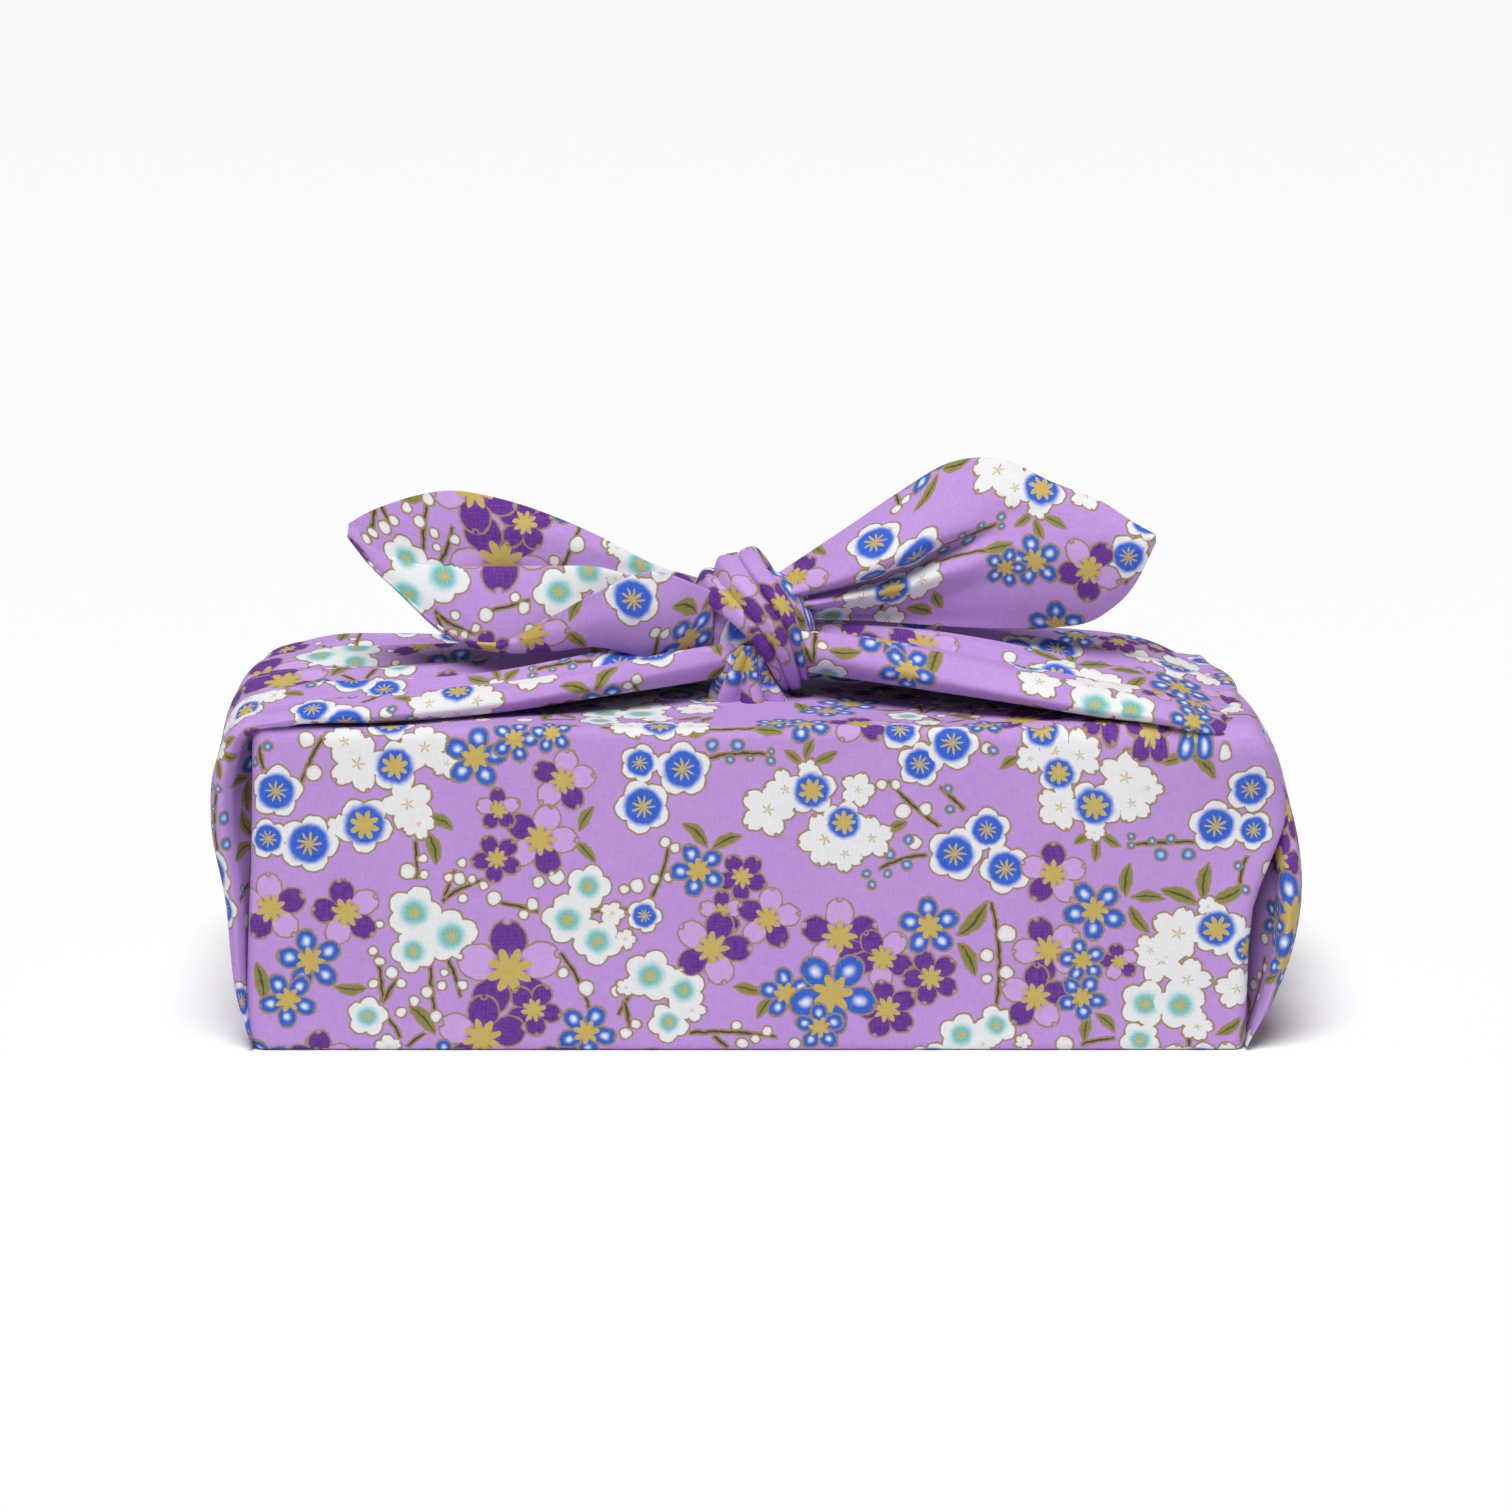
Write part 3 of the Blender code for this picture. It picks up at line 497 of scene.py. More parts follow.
def armCloth(arm):
    # an end panel and the arm it turns into. Along: a smooth path up the end and in to the knot. Across:
    # a smooth curve through the folds, whose heights stand square to the path, with creases cut in sharply
    path = np.array(arm["path"])
    reach = np.concatenate([[0], np.cumsum(np.hypot(*np.diff(path[:, :2], axis=0).T))])
    wanted = np.linspace(0, reach[-1], 190)
    x, z, keep = smoothTable(reach, path, wanted).T
    along = np.gradient(np.column_stack([x, z]), wanted, axis=0)
    along /= np.linalg.norm(along, axis=1)[:, None]
    outX, outZ = along[:, 1], -along[:, 0]

    endX = bundle["length"] / 2 - 6
    onTop = z > bundle["height"] * 0.8
    gather = np.where(onTop, np.clip((endX - x) / (endX - path[-1, 0]), 0, 1), 0)
    names = [fold[0] for fold in arm["folds"]]
    numbers = np.array([fold[1:] for fold in arm["folds"]])
    yEnd, yKnot, pull = numbers[:, 0], numbers[:, 1], numbers[:, 2]
    heights = smoothTable((0, 0.5, 1), numbers[:, 3:].T, gather) * keep[:, None]
    across = yEnd + (yKnot - yEnd) * gather[:, None] ** pull

    places = np.arange(len(names), dtype=float)
    fine = np.linspace(0, len(names) - 1, (len(names) - 1) * 9 + 1)
    across = smoothTable(places, across.T, fine).T
    heights = smoothTable(places, heights.T, fine).T
    s, t = gather[:, None], fine[None, :]
    ear = np.interp(z, *bundle["rightEar"])[:, None] / 12
    besideEar = 1 - onTop[:, None] * ease(-x, -128, -112)[:, None]
    across += arm["setBack"] * ear * (1 - ease(t, 3.0, 7.0)) * besideEar
    for place, name in enumerate(names):
        if name == "crease":
            sharp = np.exp(-np.abs(t - place) / 0.22)
            heights -= sharp * (0.7 + 3.0 * s) * keep[:, None]
    # small gathers that run in to the knot, and slack waves over the end
    shown = ease(t, 2.5, 4.0) * (1 - ease(t, len(names) - 4.0, len(names) - 2.5))
    heights += shown * keep[:, None] * (0.22 + 0.3 * s) * np.sin(7.3 * t + 1.7 * np.sin(3 * s + arm["wave"]))
    heights += shown * 0.5 * np.sin(wanted[:, None] / 14 + 0.9 * t + arm["wave"]) * np.sin(np.pi * np.clip(
        wanted[:, None] / reach[-1], 0, 1))

    px = x[:, None] + outX[:, None] * heights
    pz = np.maximum(z[:, None] + outZ[:, None] * heights, 0.0)
    px, pz = softBack(arm["side"] * px, across, pz)
    grid = np.stack([px, across, pz], axis=2)
    arc = lengthsAlong(grid, 1)
    start, top = arm["clothFrom"]
    run = arm["side"] * (wanted[:, None] + 0 * arc) + start
    steady = 40  # the row whose crowns say where each roll lies on the flat cloth
    plane = rollPlane(run, arc + top, fine, names, lambda crown: np.full(len(crown), crown[steady]))
    piece = clothPiece(arm["name"], grid, plane, outwards=np.array([arm["side"] * 60.0, 0.0, 20.0]))
    return piece


# The knot: a band of three soft strands round a tilted axis, the fan of folds it lets out below, and the
# gathered heart. Band angles run from the top over the back and under to the front, in degrees
knot = {
    "centre": (2.2, -1.5, 106.2),
    "tilt": 32.0,
    "radius": 13.6,
    "bow": 4.4,                   # how far the band bows out sideways in front
    "lean": (1.0, -2.2),          # how far it runs to the lower right on its way down, x and z
    "squash": 0.9,
    "pitch": 6.8,
    "thick": 4.6,
    "creases": (-0.5, 0.68),      # between the strands, in pitches from the middle
    "narrowest": 205.0,           # where the band is pulled tight
    "tight": 0.5,                 # how much of its width it loses there
    "fanTop": (0.0, -12.5, 103.0),
    "fanFoot": (0.2, -8.6, 86.8),
    "heart": (17.0, 12.0, 15.0),
    # where each lies on the flat cloth, and how far on the next fold of the fan is
    "bandFrom": (54.0, 41.0),
    "fanFrom": (253.0, 51.0),
    "fanStep": (19.0, 7.0),
    "heartFrom": (90.0, 30.0),
}


def knotAxes():
    tilt = math.radians(knot["tilt"])
    along = np.array([math.cos(tilt), 0, math.sin(tilt)])
    up = np.array([-math.sin(tilt), 0, math.cos(tilt)])
    return np.array(knot["centre"]), along, up, np.array([0, 1.0, 0])


def knotBand():
    # point = centre + way * (radius + lift) + along * across, where way = up cos a + depth sin a. The lift is
    # a dome over the width with a round crown on each strand, falling in sharply at the creases
    centre, along, up, depth = knotAxes()
    a = np.linspace(0, 2 * np.pi, 121)[None, :-1]
    t = np.linspace(-1.6, 1.6, 73)[:, None]
    way = up * np.cos(a)[..., None] + depth * (np.sin(a) * knot["squash"])[..., None]
    drift = 0.16 * np.sin(a + 0.6)
    first, second = knot["creases"]
    strand = np.interp(t - drift, (-1.62, first, second, 1.62), (0, 1, 2, 3))
    crown = np.abs(np.sin(np.pi * strand)) ** 0.55
    dome = np.sqrt(np.maximum(1 - (t / 1.63) ** 2, 0))
    lift = knot["thick"] * (0.62 + 0.48 * crown) * dome
    fine = 0.22 * np.sin(9 * strand + 2 * np.sin(a + 1)) * dome
    tight = (0.5 + 0.5 * np.cos(a - math.radians(knot["narrowest"]))) ** 1.6
    width = knot["pitch"] * (1 - knot["tight"] * tight)
    tuck = np.clip(np.abs(t) - 1.45, 0, 1) / 0.15
    across = t * width * (1 - 0.12 * tuck)
    stand = knot["radius"] + lift + fine - 5.0 * tuck**2
    bow = knot["bow"] * np.clip(-np.sin(a), 0, 1) ** 2
    lean = np.array([knot["lean"][0], 0, knot["lean"][1]]) * -np.cos(a - math.radians(20))[..., None]
    grid = centre + way * stand[..., None] + along * (across + bow)[..., None] + lean
    arc = lengthsAlong(grid, 0)
    arc = np.concatenate([arc, arc[:, :1]], axis=1)
    run = np.linspace(0, 96, 121)[None, :] + 0 * arc
    start, top = knot["bandFrom"]
    middle = len(t) // 2
    plane = np.stack([run + start, arc - arc[middle:middle + 1] + top], axis=2)
    piece = clothPiece("knot_band", grid, faceCorners(plane), wrap=True, outwards=centre)
    return piece


def knotFan():
    # the loop's folds under the band: rings that widen from the pinch to the foot and close in under it,
    # radius = width * (share + fold), where the fold is |cos| of seven folds round it
    top, foot = np.array(knot["fanTop"]), np.array(knot["fanFoot"])
    s = np.concatenate([np.linspace(0, 1, 34), np.linspace(1.02, 1.1, 5)])[:, None]
    a = np.linspace(0, 2 * np.pi, 151)[None, :-1]
    down = np.clip(s, 0, 1)
    close = np.clip((s - 0.9) / 0.35, 0, 1)
    width = (2.8 + 8.8 * down**0.8) * np.sqrt(1 - 0.93 * close**2)
    deep = (2.4 + 6.2 * down**0.8) * np.sqrt(1 - 0.93 * close**2)
    turn = a + 0.5 * down
    fold = np.abs(np.cos(3.5 * turn + 0.4)) ** 0.7
    swell = 0.62 + 0.42 * fold * (0.5 + 0.5 * down)
    x = top[0] + (foot[0] - top[0]) * down + width * swell * np.cos(a) - 6.0 * down * (1 - down)
    y = top[1] + (foot[1] - top[1]) * down + deep * swell * np.sin(a)
    z = top[2] + (foot[2] - top[2]) * down - 0.8 * close + 0 * a
    grid = np.stack([x, y, z], axis=2)
    arc = lengthsAlong(np.concatenate([grid, grid[:, :1]], axis=1), 1)
    run = lengthsAlong(grid, 0)
    run = np.concatenate([run, run[:, :1]], axis=1)
    middle = len(a[0]) * 3 // 4
    start, below = knot["fanFrom"]
    corners = faceCorners(np.stack([arc - arc[:, middle:middle + 1] + start, below - run], axis=2))
    # each fold shows another stretch of the cloth, as the cloth between them is hidden in the creases
    panel = np.floor((3.5 * turn + 0.4) / np.pi + 0.5)[:-1]
    corners += panel[..., None, None] * np.array(knot["fanStep"])
    piece = clothPiece("knot_fan", grid, corners, wrap=True)
    return piece


def knotHeart():
    # the gathered middle: an ellipsoid round x, radius * (1 + ripple) with folds that run in from both sides
    wide, deep, tall = knot["heart"]
    centre = np.array(knot["centre"]) + (0, 2.0, -1.0)
    u = np.linspace(-1.1, 1.1, 60)[:, None]
    a = np.linspace(0, 2 * np.pi, 121)[None, :-1]
    ripple = 1 + 0.09 * (np.abs(np.cos(4.5 * a + 0.8 * np.sin(2 * u))) ** 0.6 - 0.6) * (0.4 + np.sin(u) ** 2)
    x = centre[0] + wide * np.sin(u) + 0 * a
    y = centre[1] + deep * np.cos(u) * np.cos(a) * ripple
    z = centre[2] + tall * np.cos(u) * np.sin(a) * ripple
    grid = np.stack([x, y, z], axis=2)
    arc = lengthsAlong(np.concatenate([grid, grid[:, :1]], axis=1), 1)
    run = lengthsAlong(grid, 0)
    run = np.concatenate([run, run[:, :1]], axis=1)
    start, top = knot["heartFrom"]
    corners = faceCorners(np.stack([run + start, arc + top], axis=2))
    piece = clothPiece("knot_heart", grid, corners, wrap=True)
    return piece


# The tails' fold lines from the knot to the tip: z and y at each station x, top edge first
leftTail = {
    "name": "left_tail",
    "stations": (-10.0, -27.0, -41.0, -54.0, -68.0, -81.0, -95.0, -104.0, -108.2),
    "folds": (
        ("edge", (117, 121.5, 128.4, 134, 138.6, 141, 138.6, 135.4, 133), (2, 5, 7, 8, 8, 7, 5, 3, 2)),
        ("roll", (114, 119.8, 125, 128, 130.5, 132.2, 131.8, 131.4, 132),
         (0, 3, 4, 4.5, 4.5, 4.5, 3, 2, 1.6)),
        ("crease", (113, 116.4, 119, 119, 119.2, 120.5, 124, 128.4, 131.4),
         (-1, 1.6, 2.5, 3, 3, 2, 1, 0.6, 1)),
        ("roll", (111, 117, 121, 121.2, 121, 120.9, 123, 127.7, 131.1),
         (-4, -2.4, -0.8, 0, 0, 0, 0, 0, 0.8)),
        ("roll", (107, 110, 111.6, 111.6, 110.6, 112, 119.4, 126.2, 130.8),
         (-4, -4, -4.5, -5, -5, -4, -2, -0.6, 0.5)),
        ("roll", (99.7, 98.8, 101.9, 100.8, 100.6, 104.2, 116, 124.6, 130.4),
         (-6, -9, -9, -9, -8, -6, -3, -1, 0)),
        ("roll", (107, 111, 109, 105.6, 102, 104.6, 116.2, 124.8, 130.3),
         (-9, -14, -13, -11.5, -9.4, -7, -4, -2, -0.6)),
        ("edge", (117, 123, 117.4, 110, 102.8, 105, 116.4, 125, 130.1),
         (-9, -12, -12, -11, -9, -7.4, -4.4, -2.4, -1)),
    ),
    "clothFrom": (135.0, 30.0),
    "flat": (0.10, 0.070),
    "area": 0.0047,   # a pointed piece, not a whole rectangle
}
rightTail = {
    "name": "right_tail",
    "stations": (8.0, 27.0, 40.0, 54.0, 68.0, 81.0, 95.0, 104.0, 109.0),
    "folds": (
        ("edge", (119, 131.4, 140, 148.2, 149.2, 143.6, 138.2, 132.6, 130.0), (4, 6, 8, 9, 8, 6, 4, 2, 1)),
        ("roll", (116, 126, 133, 138.6, 141, 138.6, 135, 131.4, 129.9), (-1, -3, -3, 0, 2, 2, 1, 0, 0)),
        ("roll", (114, 120.4, 126, 131.5, 134.8, 134, 132, 130.2, 129.7),
         (-4, -8, -9, -4, 0, 0, -0.6, -1, -1)),
        ("crease", (112, 116.4, 120.4, 126.6, 130.6, 130.2, 129, 128.7, 129.6),
         (-2, -1, 0, 1.5, -1, -1.6, -1.6, -1.4, -1)),
        ("roll", (111, 114.4, 117, 121.6, 125.4, 126, 126, 127.2, 129.4),
         (-5, -6, -6, -5, -4, -3, -2.2, -1.8, -1)),
        ("roll", (110, 110.4, 111.4, 114.5, 118, 119.6, 122, 125.6, 129.2),
         (-2, -2, -2, -2, -2.6, -2.8, -2.4, -1.8, -1)),
        ("roll", (109, 108.6, 108.6, 109.4, 110.6, 111.6, 114.6, 121.6, 129.0),
         (-1, 0, 0, -1, -1.6, -2, -2, -1.6, -1)),
        ("edge", (108, 107.2, 106.2, 105.2, 104.6, 104.8, 108.6, 118, 128.6),
         (-3, -2, -1, -1, -0.6, 0, -0.6, -1, -1)),
    ),
    "clothFrom": (70.0, 85.0),
    "flat": (0.10, 0.070),
    "area": 0.0047,
}


def tailCloth(tail):
    # a free tail: smooth curves along its fold lines, and a smooth curve across them
    stations = np.array(tail["stations"])
    order = np.argsort(stations)
    z = np.array([fold[1] for fold in tail["folds"]], float)[:, order]
    y = np.array([fold[2] for fold in tail["folds"]], float)[:, order]
    wanted = np.linspace(stations.min(), stations.max(), 150)
    z = smoothTable(stations[order], z.T, wanted)
    y = smoothTable(stations[order], y.T, wanted)
    places = np.arange(len(tail["folds"]), dtype=float)
    fine = np.linspace(0, places[-1], 127)
    z = smoothTable(places, z.T, fine).T
    y = smoothTable(places, y.T, fine).T
    x = np.repeat(wanted[:, None], z.shape[1], axis=1)
    tip = abs(stations[-1])
    near = 1 - np.clip(np.abs(x) / tip, 0, 1)
    y = y + 0.5 * near * np.sin(2.6 * fine[None, :] + 0.05 * x)
    grid = np.stack([x, y, z], axis=2)
    arc = lengthsAlong(grid, 1)
    start, top = tail["clothFrom"]
    column = int(np.argmin(np.abs(fine - 3)))
    plane = np.stack([x + start, arc - arc[:, column:column + 1] + top], axis=2)
    piece = clothPiece(tail["name"], grid, faceCorners(plane), outwards=np.array([0.0, 60.0, 120.0]))
    return thicken(piece, 0.7)


class Wire:
    # a shader socket that takes part in arithmetic: each operator adds one Math node
    def __init__(self, bench, socket):
        self.bench = bench
        self.socket = socket

    def __add__(self, other):
        return self.bench.math("ADD", self, other)

    __radd__ = __add__

    def __sub__(self, other):
        return self.bench.math("SUBTRACT", self, other)

    def __rsub__(self, other):
        return self.bench.math("SUBTRACT", other, self)

    def __mul__(self, other):
        return self.bench.math("MULTIPLY", self, other)

    __rmul__ = __mul__

    def __truediv__(self, other):
        return self.bench.math("DIVIDE", self, other)

    def __rtruediv__(self, other):
        return self.bench.math("DIVIDE", other, self)

    def __pow__(self, other):
        return self.bench.math("POWER", self, other)

    def __abs__(self):
        return self.bench.math("ABSOLUTE", self)

    def __neg__(self):
        return self.bench.math("MULTIPLY", self, -1.0)


class Bench:
    # one material's nodes. add() makes any node: its settings first, then its values and links, by input
    # name or in order. It gives back the node's outputs that are in use
    def __init__(self, name):
        self.material = bpy.data.materials.new(name)
        self.material.use_nodes = True
        self.tree = self.material.node_tree
        self.tree.nodes.clear()

    def add(self, kind, settings=None, *ordered, **named):
        node = self.tree.nodes.new(kind)
        for key, value in (settings or {}).items():
            if key == "stops":
                self.setStops(node.color_ramp, value)
            elif key == "ramp":
                node.color_ramp.interpolation = value
            else:
                setattr(node, key, value)
        inputs = [socket for socket in node.inputs if socket.enabled]
        places = list(zip(inputs, ordered))
        for key, value in named.items():
            places.append((next(socket for socket in inputs if socket.name.replace(" ", "") == key), value))
        for socket, value in places:
            if isinstance(value, Wire):
                self.tree.links.new(value.socket, socket)
            elif value is not None:
                socket.default_value = value
        return [Wire(self, socket) for socket in node.outputs if socket.enabled]

    def setStops(self, ramp, stops):
        while len(ramp.elements) < len(stops):
            ramp.elements.new(1.0)
        for element, (position, colour) in zip(ramp.elements, stops):
            element.position = position
            element.color = colour

    def math(self, operation, *values):
        return self.add("ShaderNodeMath", {"operation": operation}, *values)[0]

    def clamp(self, value):
        return self.add("ShaderNodeMath", {"operation": "ADD", "use_clamp": True}, value, 0.0)[0]

    def mixNumber(self, share, a, b):
        return self.add("ShaderNodeMix", {"data_type": "FLOAT"}, share, a, b)[0]

    def mixColour(self, share, a, b):
        return self.add("ShaderNodeMix", {"data_type": "RGBA"}, share, a, b)[0]

    def noise(self, place, scale, detail=2.0, roughness=0.5):
        return self.add("ShaderNodeTexNoise", None, Vector=place, Scale=scale, Detail=detail,
                        Roughness=roughness)


def linear(red, green, blue):
    # a colour given as it looks on screen, 0 to 255, as the shader's linear values
    parts = [c / 255 for c in (red, green, blue)]
    return (*[c / 12.92 if c < 0.04045 else ((c + 0.055) / 1.055) ** 2.4 for c in parts], 1.0)


# How each kind of motif is drawn. petal: how far out a petal's middle lies, then half its length and half
# its width, as shares of the flower's size. notch: the bite at a petal's tip. disk: the solid middle. star:
# reach between the rays, reach at the rays, how narrow the rays are and how many. fade: where the inner
# colour gives way to the outer one. stem: half width and taper of a leaf or twig
motifForms = {
    "plumBlue": dict(petal=(0.52, 0.48, 0.46), notch=0.0, disk=0.62, star=(0.08, 0.43, 2.2, 9),
                     fade=(0.58, 0.82), inner=(8, 88, 204), outer=(231, 232, 234)),
    "plumMint": dict(petal=(0.54, 0.46, 0.44), notch=0.0, disk=0.60, star=(0.08, 0.34, 2.2, 9),
                     fade=(0.26, 0.68), inner=(84, 190, 194), outer=(230, 232, 232)),
    "starPlum": dict(petal=(0.56, 0.44, 0.42), notch=0.0, disk=0.60, star=(0.26, 0.54, 1.2, 8),
                     fade=(0.58, 0.86), inner=(8, 88, 204), outer=(231, 232, 234)),
    "white": dict(petal=(0.58, 0.42, 0.38), notch=0.10, disk=0.50, star=(0.0, 0.26, 6.0, 5),
                  fade=(0.05, 0.22), inner=(222, 220, 222), outer=(231, 231, 232)),
    "bud": dict(petal=(0.0, 1.0, 1.0), notch=0.0, disk=0.2, fade=(0.4, 1.0), inner=(232, 232, 232),
                outer=(222, 221, 223)),
    "blueBud": dict(petal=(0.0, 1.0, 1.0), notch=0.0, disk=0.2, fade=(0.1, 0.9), inner=(170, 205, 240),
                    outer=(34, 100, 190)),
    "cobalt": dict(petal=(0.64, 0.36, 0.30), notch=0.05, disk=0.18, star=(0.22, 0.46, 1.2, 7),
                   fade=(0.02, 0.62), inner=(228, 236, 248), outer=(10, 86, 196)),
    "cherry": dict(petal=(0.62, 0.38, 0.34), notch=0.10, disk=0.18, star=(0.21, 0.46, 1.2, 8),
                   fade=(0.22, 0.46), inner=(132, 66, 178), outer=(92, 16, 138)),
    "leaf": dict(stem=(0.32, 1.0), fade=(0.0, 0.34), inner=(46, 46, 12), outer=(128, 128, 40)),
    "twig": dict(stem=(0.0, 0.3), fade=(0.0, 1.0), inner=(52, 50, 14), outer=(78, 74, 28)),
}
printColours = {
    "ground": (190, 147, 217),
    "groundShade": (181, 138, 211),
    "palePetal": (198, 157, 222),
    "star": (196, 170, 78),
    "outline": (152, 126, 80),
    "outlineWidth": 0.52,     # in mm, all outside the motif's edge
    "twigWidth": 0.36,        # half of it, in mm
    "bleed": 0.22,            # how soft the print's edges are, in mm
    "wobble": 0.5,            # how uneven they are, in mm
}


def formRamp(pick):
    # one constant ramp that gives each kind its four numbers, in the order of kinds
    stops = []
    for number, kind in enumerate(kinds):
        stops.append((number / len(kinds), pick(motifForms[kind])))
    return {"ramp": "CONSTANT", "stops": stops}


def motifLayer(bench, below, plane, layer):
    # one layer of the print over what lies below it: (colour, gold share, white share) in and out. Inside a
    # motif its distance is below 0: of a flower the nearest of five petals and a disk, of a leaf the curve
    # |y| = width * (1 - taper * x^2), both in shares of the motif's size
    colourBelow, goldBelow, whiteBelow = below
    place = bench.add("ShaderNodeAttribute", {"attribute_name": f"motifPlace{layer}"})[1]
    form = bench.add("ShaderNodeAttribute", {"attribute_name": f"motifForm{layer}"})[1]
    kind = bench.add("ShaderNodeSeparateXYZ", None, place)[2]
    size, turn, bend = bench.add("ShaderNodeSeparateXYZ", None, form)
    offset = bench.add("ShaderNodeVectorMath", {"operation": "SUBTRACT"}, plane, place)[0]
    turned = bench.add("ShaderNodeVectorRotate", {"rotation_type": "Z_AXIS"}, Vector=offset, Angle=-turn)[0]
    x, y, _ = bench.add("ShaderNodeSeparateXYZ", None, turned)
    x, y = x / size, y / size
    r = bench.math("SQRT", x * x + y * y)
    angle = bench.math("ARCTAN2", y, x)
    sector = bench.math("ROUND", angle * (2.5 / math.pi))
    inPetal = angle - sector * (0.4 * math.pi)
    out, aside = r * bench.math("COSINE", inPetal), r * bench.math("SINE", inPetal)

    which = (kind + 0.5) / len(kinds)
    isWhite = bench.math("LESS_THAN", kind, kinds.index("white") + 0.5)
    isTwig = bench.math("GREATER_THAN", kind, kinds.index("twig") - 0.5)
    ramp = "ShaderNodeValToRGB"
    petalForm, starCount = bench.add(ramp, formRamp(lambda f: (
        *f.get("petal", (0.5, 0.5, 0.5)), f.get("star", (0, 0, 0, 1))[3] / 20)), which)
    cutForm, isCherry = bench.add(ramp, formRamp(lambda f: (
        f.get("notch", 0), f.get("disk", 0), float(f is motifForms["cobalt"]),
        float(f is motifForms["cherry"]))), which)
    starForm, taper = bench.add(ramp, formRamp(lambda f: (
        *f.get("star", (0, 0, 10))[:2], f.get("star", (0, 0, 10))[2] / 10, f.get("stem", (0, 0))[1])), which)
    shadeForm, isLeaf = bench.add(ramp, formRamp(lambda f: (
        *f["fade"], f.get("stem", (0.3, 0))[0], float("stem" in f))), which)
    outer = bench.add(ramp, formRamp(lambda f: linear(*f["outer"])), which)[0]
    inner = bench.add(ramp, formRamp(lambda f: linear(*f["inner"])), which)[0]
    far, long, wide = bench.add("ShaderNodeSeparateColor", None, petalForm)
    notch, disk, isCobalt = bench.add("ShaderNodeSeparateColor", None, cutForm)
    starIn, starOut, rayPower = bench.add("ShaderNodeSeparateColor", None, starForm)
    fadeFrom, fadeTo, stemWidth = bench.add("ShaderNodeSeparateColor", None, shadeForm)

    lengthShare, widthShare = (out - far) / long, aside / wide
    ellipse = bench.math("SQRT", lengthShare * lengthShare + widthShare * widthShare)
    tip = out - far - long
    bite = notch - bench.math("SQRT", tip * tip + aside * aside)
    petals = bench.math("MAXIMUM", (ellipse - 1.0) * wide, bite)
    flower = bench.math("MINIMUM", petals, r - disk)
    bow = 1.0 - x * x
    off = abs(y - bend * bow)
    half = bench.mixNumber(isTwig, stemWidth, printColours["twigWidth"] * mm / size) * (1.0 - taper * (x * x))
    leaf = bench.math("MAXIMUM", off - half, abs(x) - 1.0)
    distance = bench.mixNumber(isLeaf, flower, leaf) * size

    # the outline follows the motif's outer edge, and white flowers that overlap share one outline
    bleed = printColours["bleed"] * mm
    lined = 1.0 - whiteBelow * isWhite
    inside = bench.clamp(0.5 - distance / bleed)
    cover = bench.clamp(0.5 + (lined * (printColours["outlineWidth"] * mm) - distance) / bleed)
    line = (1.0 - inside) * lined
    shadeAt = bench.mixNumber(isCobalt, r, ellipse)
    shadeAt = bench.mixNumber(isLeaf, shadeAt, off / (half + 0.02))
    fade = bench.add("ShaderNodeMapRange", {"interpolation_type": "SMOOTHSTEP"}, shadeAt, fadeFrom, fadeTo)[0]
    paleFrom = 0.1 + bench.math("GREATER_THAN", bend, 9.5)
    pale = bench.math("GREATER_THAN", bench.math("SINE", sector * 2.4 + bend), paleFrom) * isCherry
    outer = bench.mixColour(pale, outer, linear(*printColours["palePetal"]))
    colour = bench.mixColour(fade, inner, outer)
    rays = abs(bench.math("COSINE", angle * (starCount * 10.0))) ** (rayPower * 10.0)
    starEdge = starIn + (starOut - starIn) * rays - r
    star = bench.clamp(0.5 + starEdge * size / bleed) * (1.0 - isLeaf)
    colour = bench.mixColour(line, colour, linear(*printColours["outline"]))
    colour = bench.mixColour(star, colour, linear(*printColours["star"]))
    cover = bench.math("MAXIMUM", cover, star)
    gold = bench.math("MAXIMUM", star, line)
    white = bench.math("MAXIMUM", whiteBelow * (1.0 - cover), inside * isWhite)
    return bench.mixColour(cover, colourBelow, colour), bench.mixNumber(cover, goldBelow, gold), white


weave = {
    "pitch": 0.5,          # mm from thread to thread
    "threadHeight": 0.05,
    "slubHeight": 0.07,
    "roughness": 0.86,
    "goldRoughness": 0.55,
    "sheen": 0.06,
    "shine": 0.18,
}


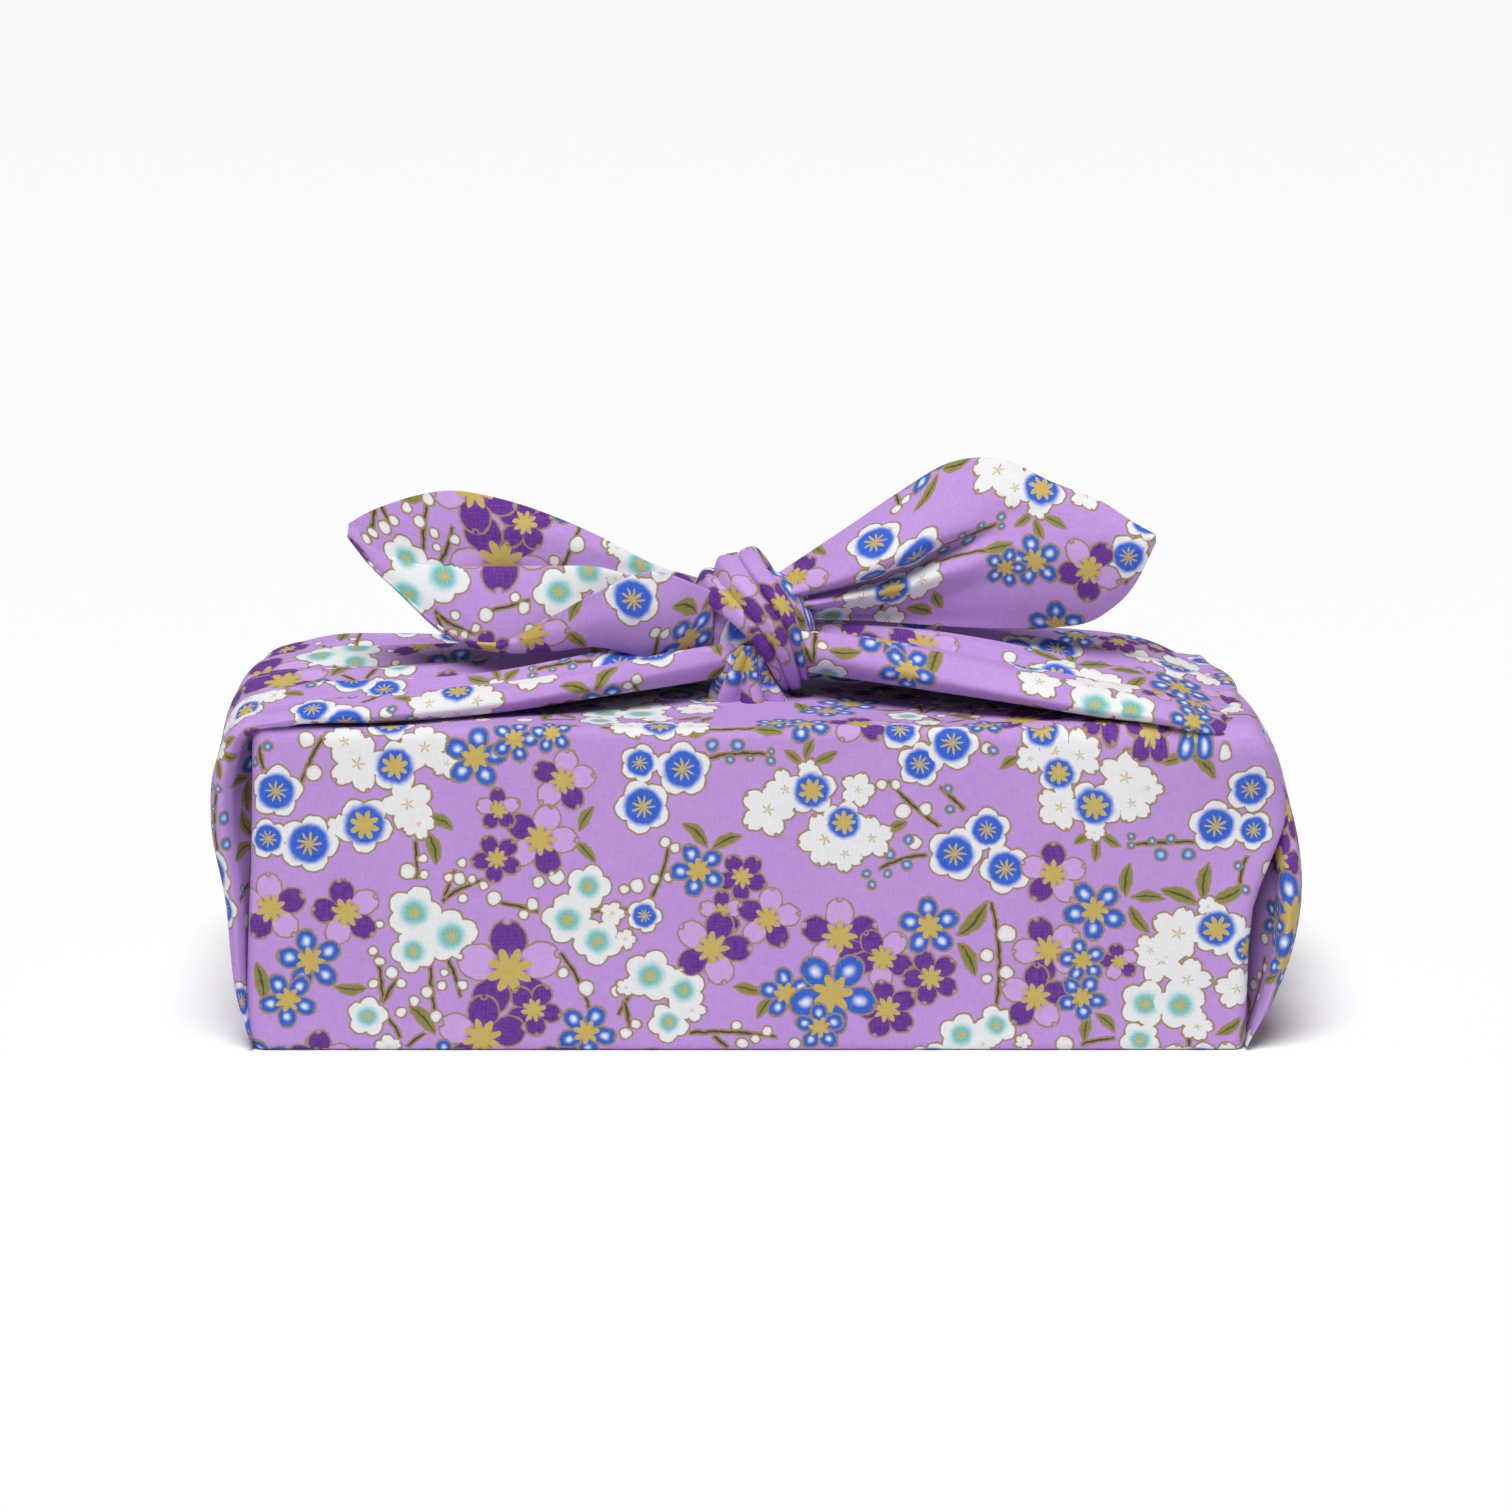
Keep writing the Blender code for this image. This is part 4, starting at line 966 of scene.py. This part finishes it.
def printedCotton():
    # the cotton: the print's layers over a lavender ground, and a plain weave with uneven threads
    bench = Bench("printed_cotton")
    plane = bench.add("ShaderNodeUVMap", {"uv_map": "clothPlane"})[0]
    uneven = bench.noise(plane, 420.0, 1.0)[1]
    shift = bench.add("ShaderNodeVectorMath", {"operation": "SUBTRACT"}, uneven, (0.5, 0.5, 0.5))[0]
    wobble = printColours["wobble"] * mm * 2
    shift = bench.add("ShaderNodeVectorMath", {"operation": "SCALE"}, shift, Scale=wobble)[0]
    drawn = bench.add("ShaderNodeVectorMath", {"operation": "ADD"}, plane, shift)[0]

    blotch = bench.noise(plane, 60.0, 3.0)[0]
    ground = bench.mixColour(blotch, linear(*printColours["ground"]), linear(*printColours["groundShade"]))
    nothing = bench.add("ShaderNodeValue")[0]
    below = (ground, nothing, nothing)
    for layer in range(printLayers):
        below = motifLayer(bench, below, drawn, layer)
    colour, gold, _ = below

    u, v, _ = bench.add("ShaderNodeSeparateXYZ", None, plane)
    stretchU = bench.add("ShaderNodeCombineXYZ", None, u * 260.0, v * 2600.0, 0.0)[0]
    stretchV = bench.add("ShaderNodeCombineXYZ", None, u * 2600.0, v * 260.0, 0.0)[0]
    slub = bench.noise(stretchU, 1.0, 2.0)[0] + bench.noise(stretchV, 1.0, 2.0)[0] - 1.0
    tint = bench.clamp(0.5 + slub * 1.3)
    colour = bench.mixColour(tint * 0.07, colour, linear(250, 245, 250))
    colour = bench.mixColour((1.0 - tint) * 0.12, colour, linear(60, 40, 80))

    turns = 2 * math.pi / (weave["pitch"] * mm)
    threads = bench.math("SINE", u * turns) * bench.math("SINE", v * turns)
    height = threads * (weave["threadHeight"] * mm) + slub * (weave["slubHeight"] * mm)
    bump = bench.add("ShaderNodeBump", None, Strength=0.7, Distance=1.0, Height=height)[0]
    rough = bench.mixNumber(gold, weave["roughness"], weave["goldRoughness"]) + slub * 0.05
    shader = bench.add("ShaderNodeBsdfPrincipled", None, BaseColor=colour, Roughness=rough, Normal=bump,
                       SheenWeight=weave["sheen"], SheenRoughness=0.5,
                       SpecularIORLevel=weave["shine"])[0]
    bench.add("ShaderNodeOutputMaterial", None, Surface=shader)
    return bench.material


# the cloth itself
pieces = [boxCloth(), armCloth(leftArm), armCloth(rightArm)]
pieces += [knotHeart(), knotFan(), knotBand(), tailCloth(leftTail), tailCloth(rightTail)]
print("cloth pieces made:", len(pieces))

cotton = printedCotton()
print("print drawn with", len(cotton.node_tree.nodes), "nodes")
for piece in pieces:
    piece.data.materials.append(cotton)
    area = sum(face.area for face in piece.data.polygons)
    print(piece.name, "area", round(area, 5), "faces", len(piece.data.polygons))

# the stage
stage = {
    "floor": (0.98, 0.98, 0.98),
    "floorSide": 30.0,          # in metres
    "room": 0.14,               # the white room's own light
    "keyStrength": 3.4,
    "keyWidth": 34.0,           # in degrees: a wide soft box
    "keyTurn": (24, 0, -8),
    "lens": 202.4,
    "pitch": 14.0,
    "distance": 2.2525,
    "aim": (0.0015, -0.048, 0.081),
}


def makeStage():
    bpy.ops.mesh.primitive_plane_add(size=stage["floorSide"])
    floor = bpy.context.object
    floor.name = "floor"
    white = bpy.data.materials.new("pale_floor")
    white.use_nodes = True
    white.node_tree.nodes["Principled BSDF"].inputs["Base Color"].default_value = (*stage["floor"], 1)
    floor.data.materials.append(white)

    camera = bpy.data.objects.new("camera", bpy.data.cameras.new("camera"))
    bpy.context.scene.collection.objects.link(camera)
    bpy.context.scene.camera = camera
    camera.data.lens = stage["lens"]
    camera.data.clip_end = 40
    pitch, far = math.radians(stage["pitch"]), stage["distance"]
    x, y, z = stage["aim"]
    camera.location = (x, y - far * math.cos(pitch), z + far * math.sin(pitch))
    camera.rotation_euler = (math.pi / 2 - pitch, 0, 0)

    key = bpy.data.objects.new("key", bpy.data.lights.new("key", "SUN"))
    key.data.energy = stage["keyStrength"]
    key.data.angle = math.radians(stage["keyWidth"])
    key.rotation_euler = [math.radians(turn) for turn in stage["keyTurn"]]
    bpy.context.scene.collection.objects.link(key)
    world = bpy.data.worlds.new("room")
    world.use_nodes = True
    world.node_tree.nodes["Background"].inputs["Color"].default_value = (1, 1, 1, 1)
    world.node_tree.nodes["Background"].inputs["Strength"].default_value = stage["room"]
    bpy.context.scene.world = world
    bpy.context.scene.view_settings.view_transform = "Standard"


makeStage()
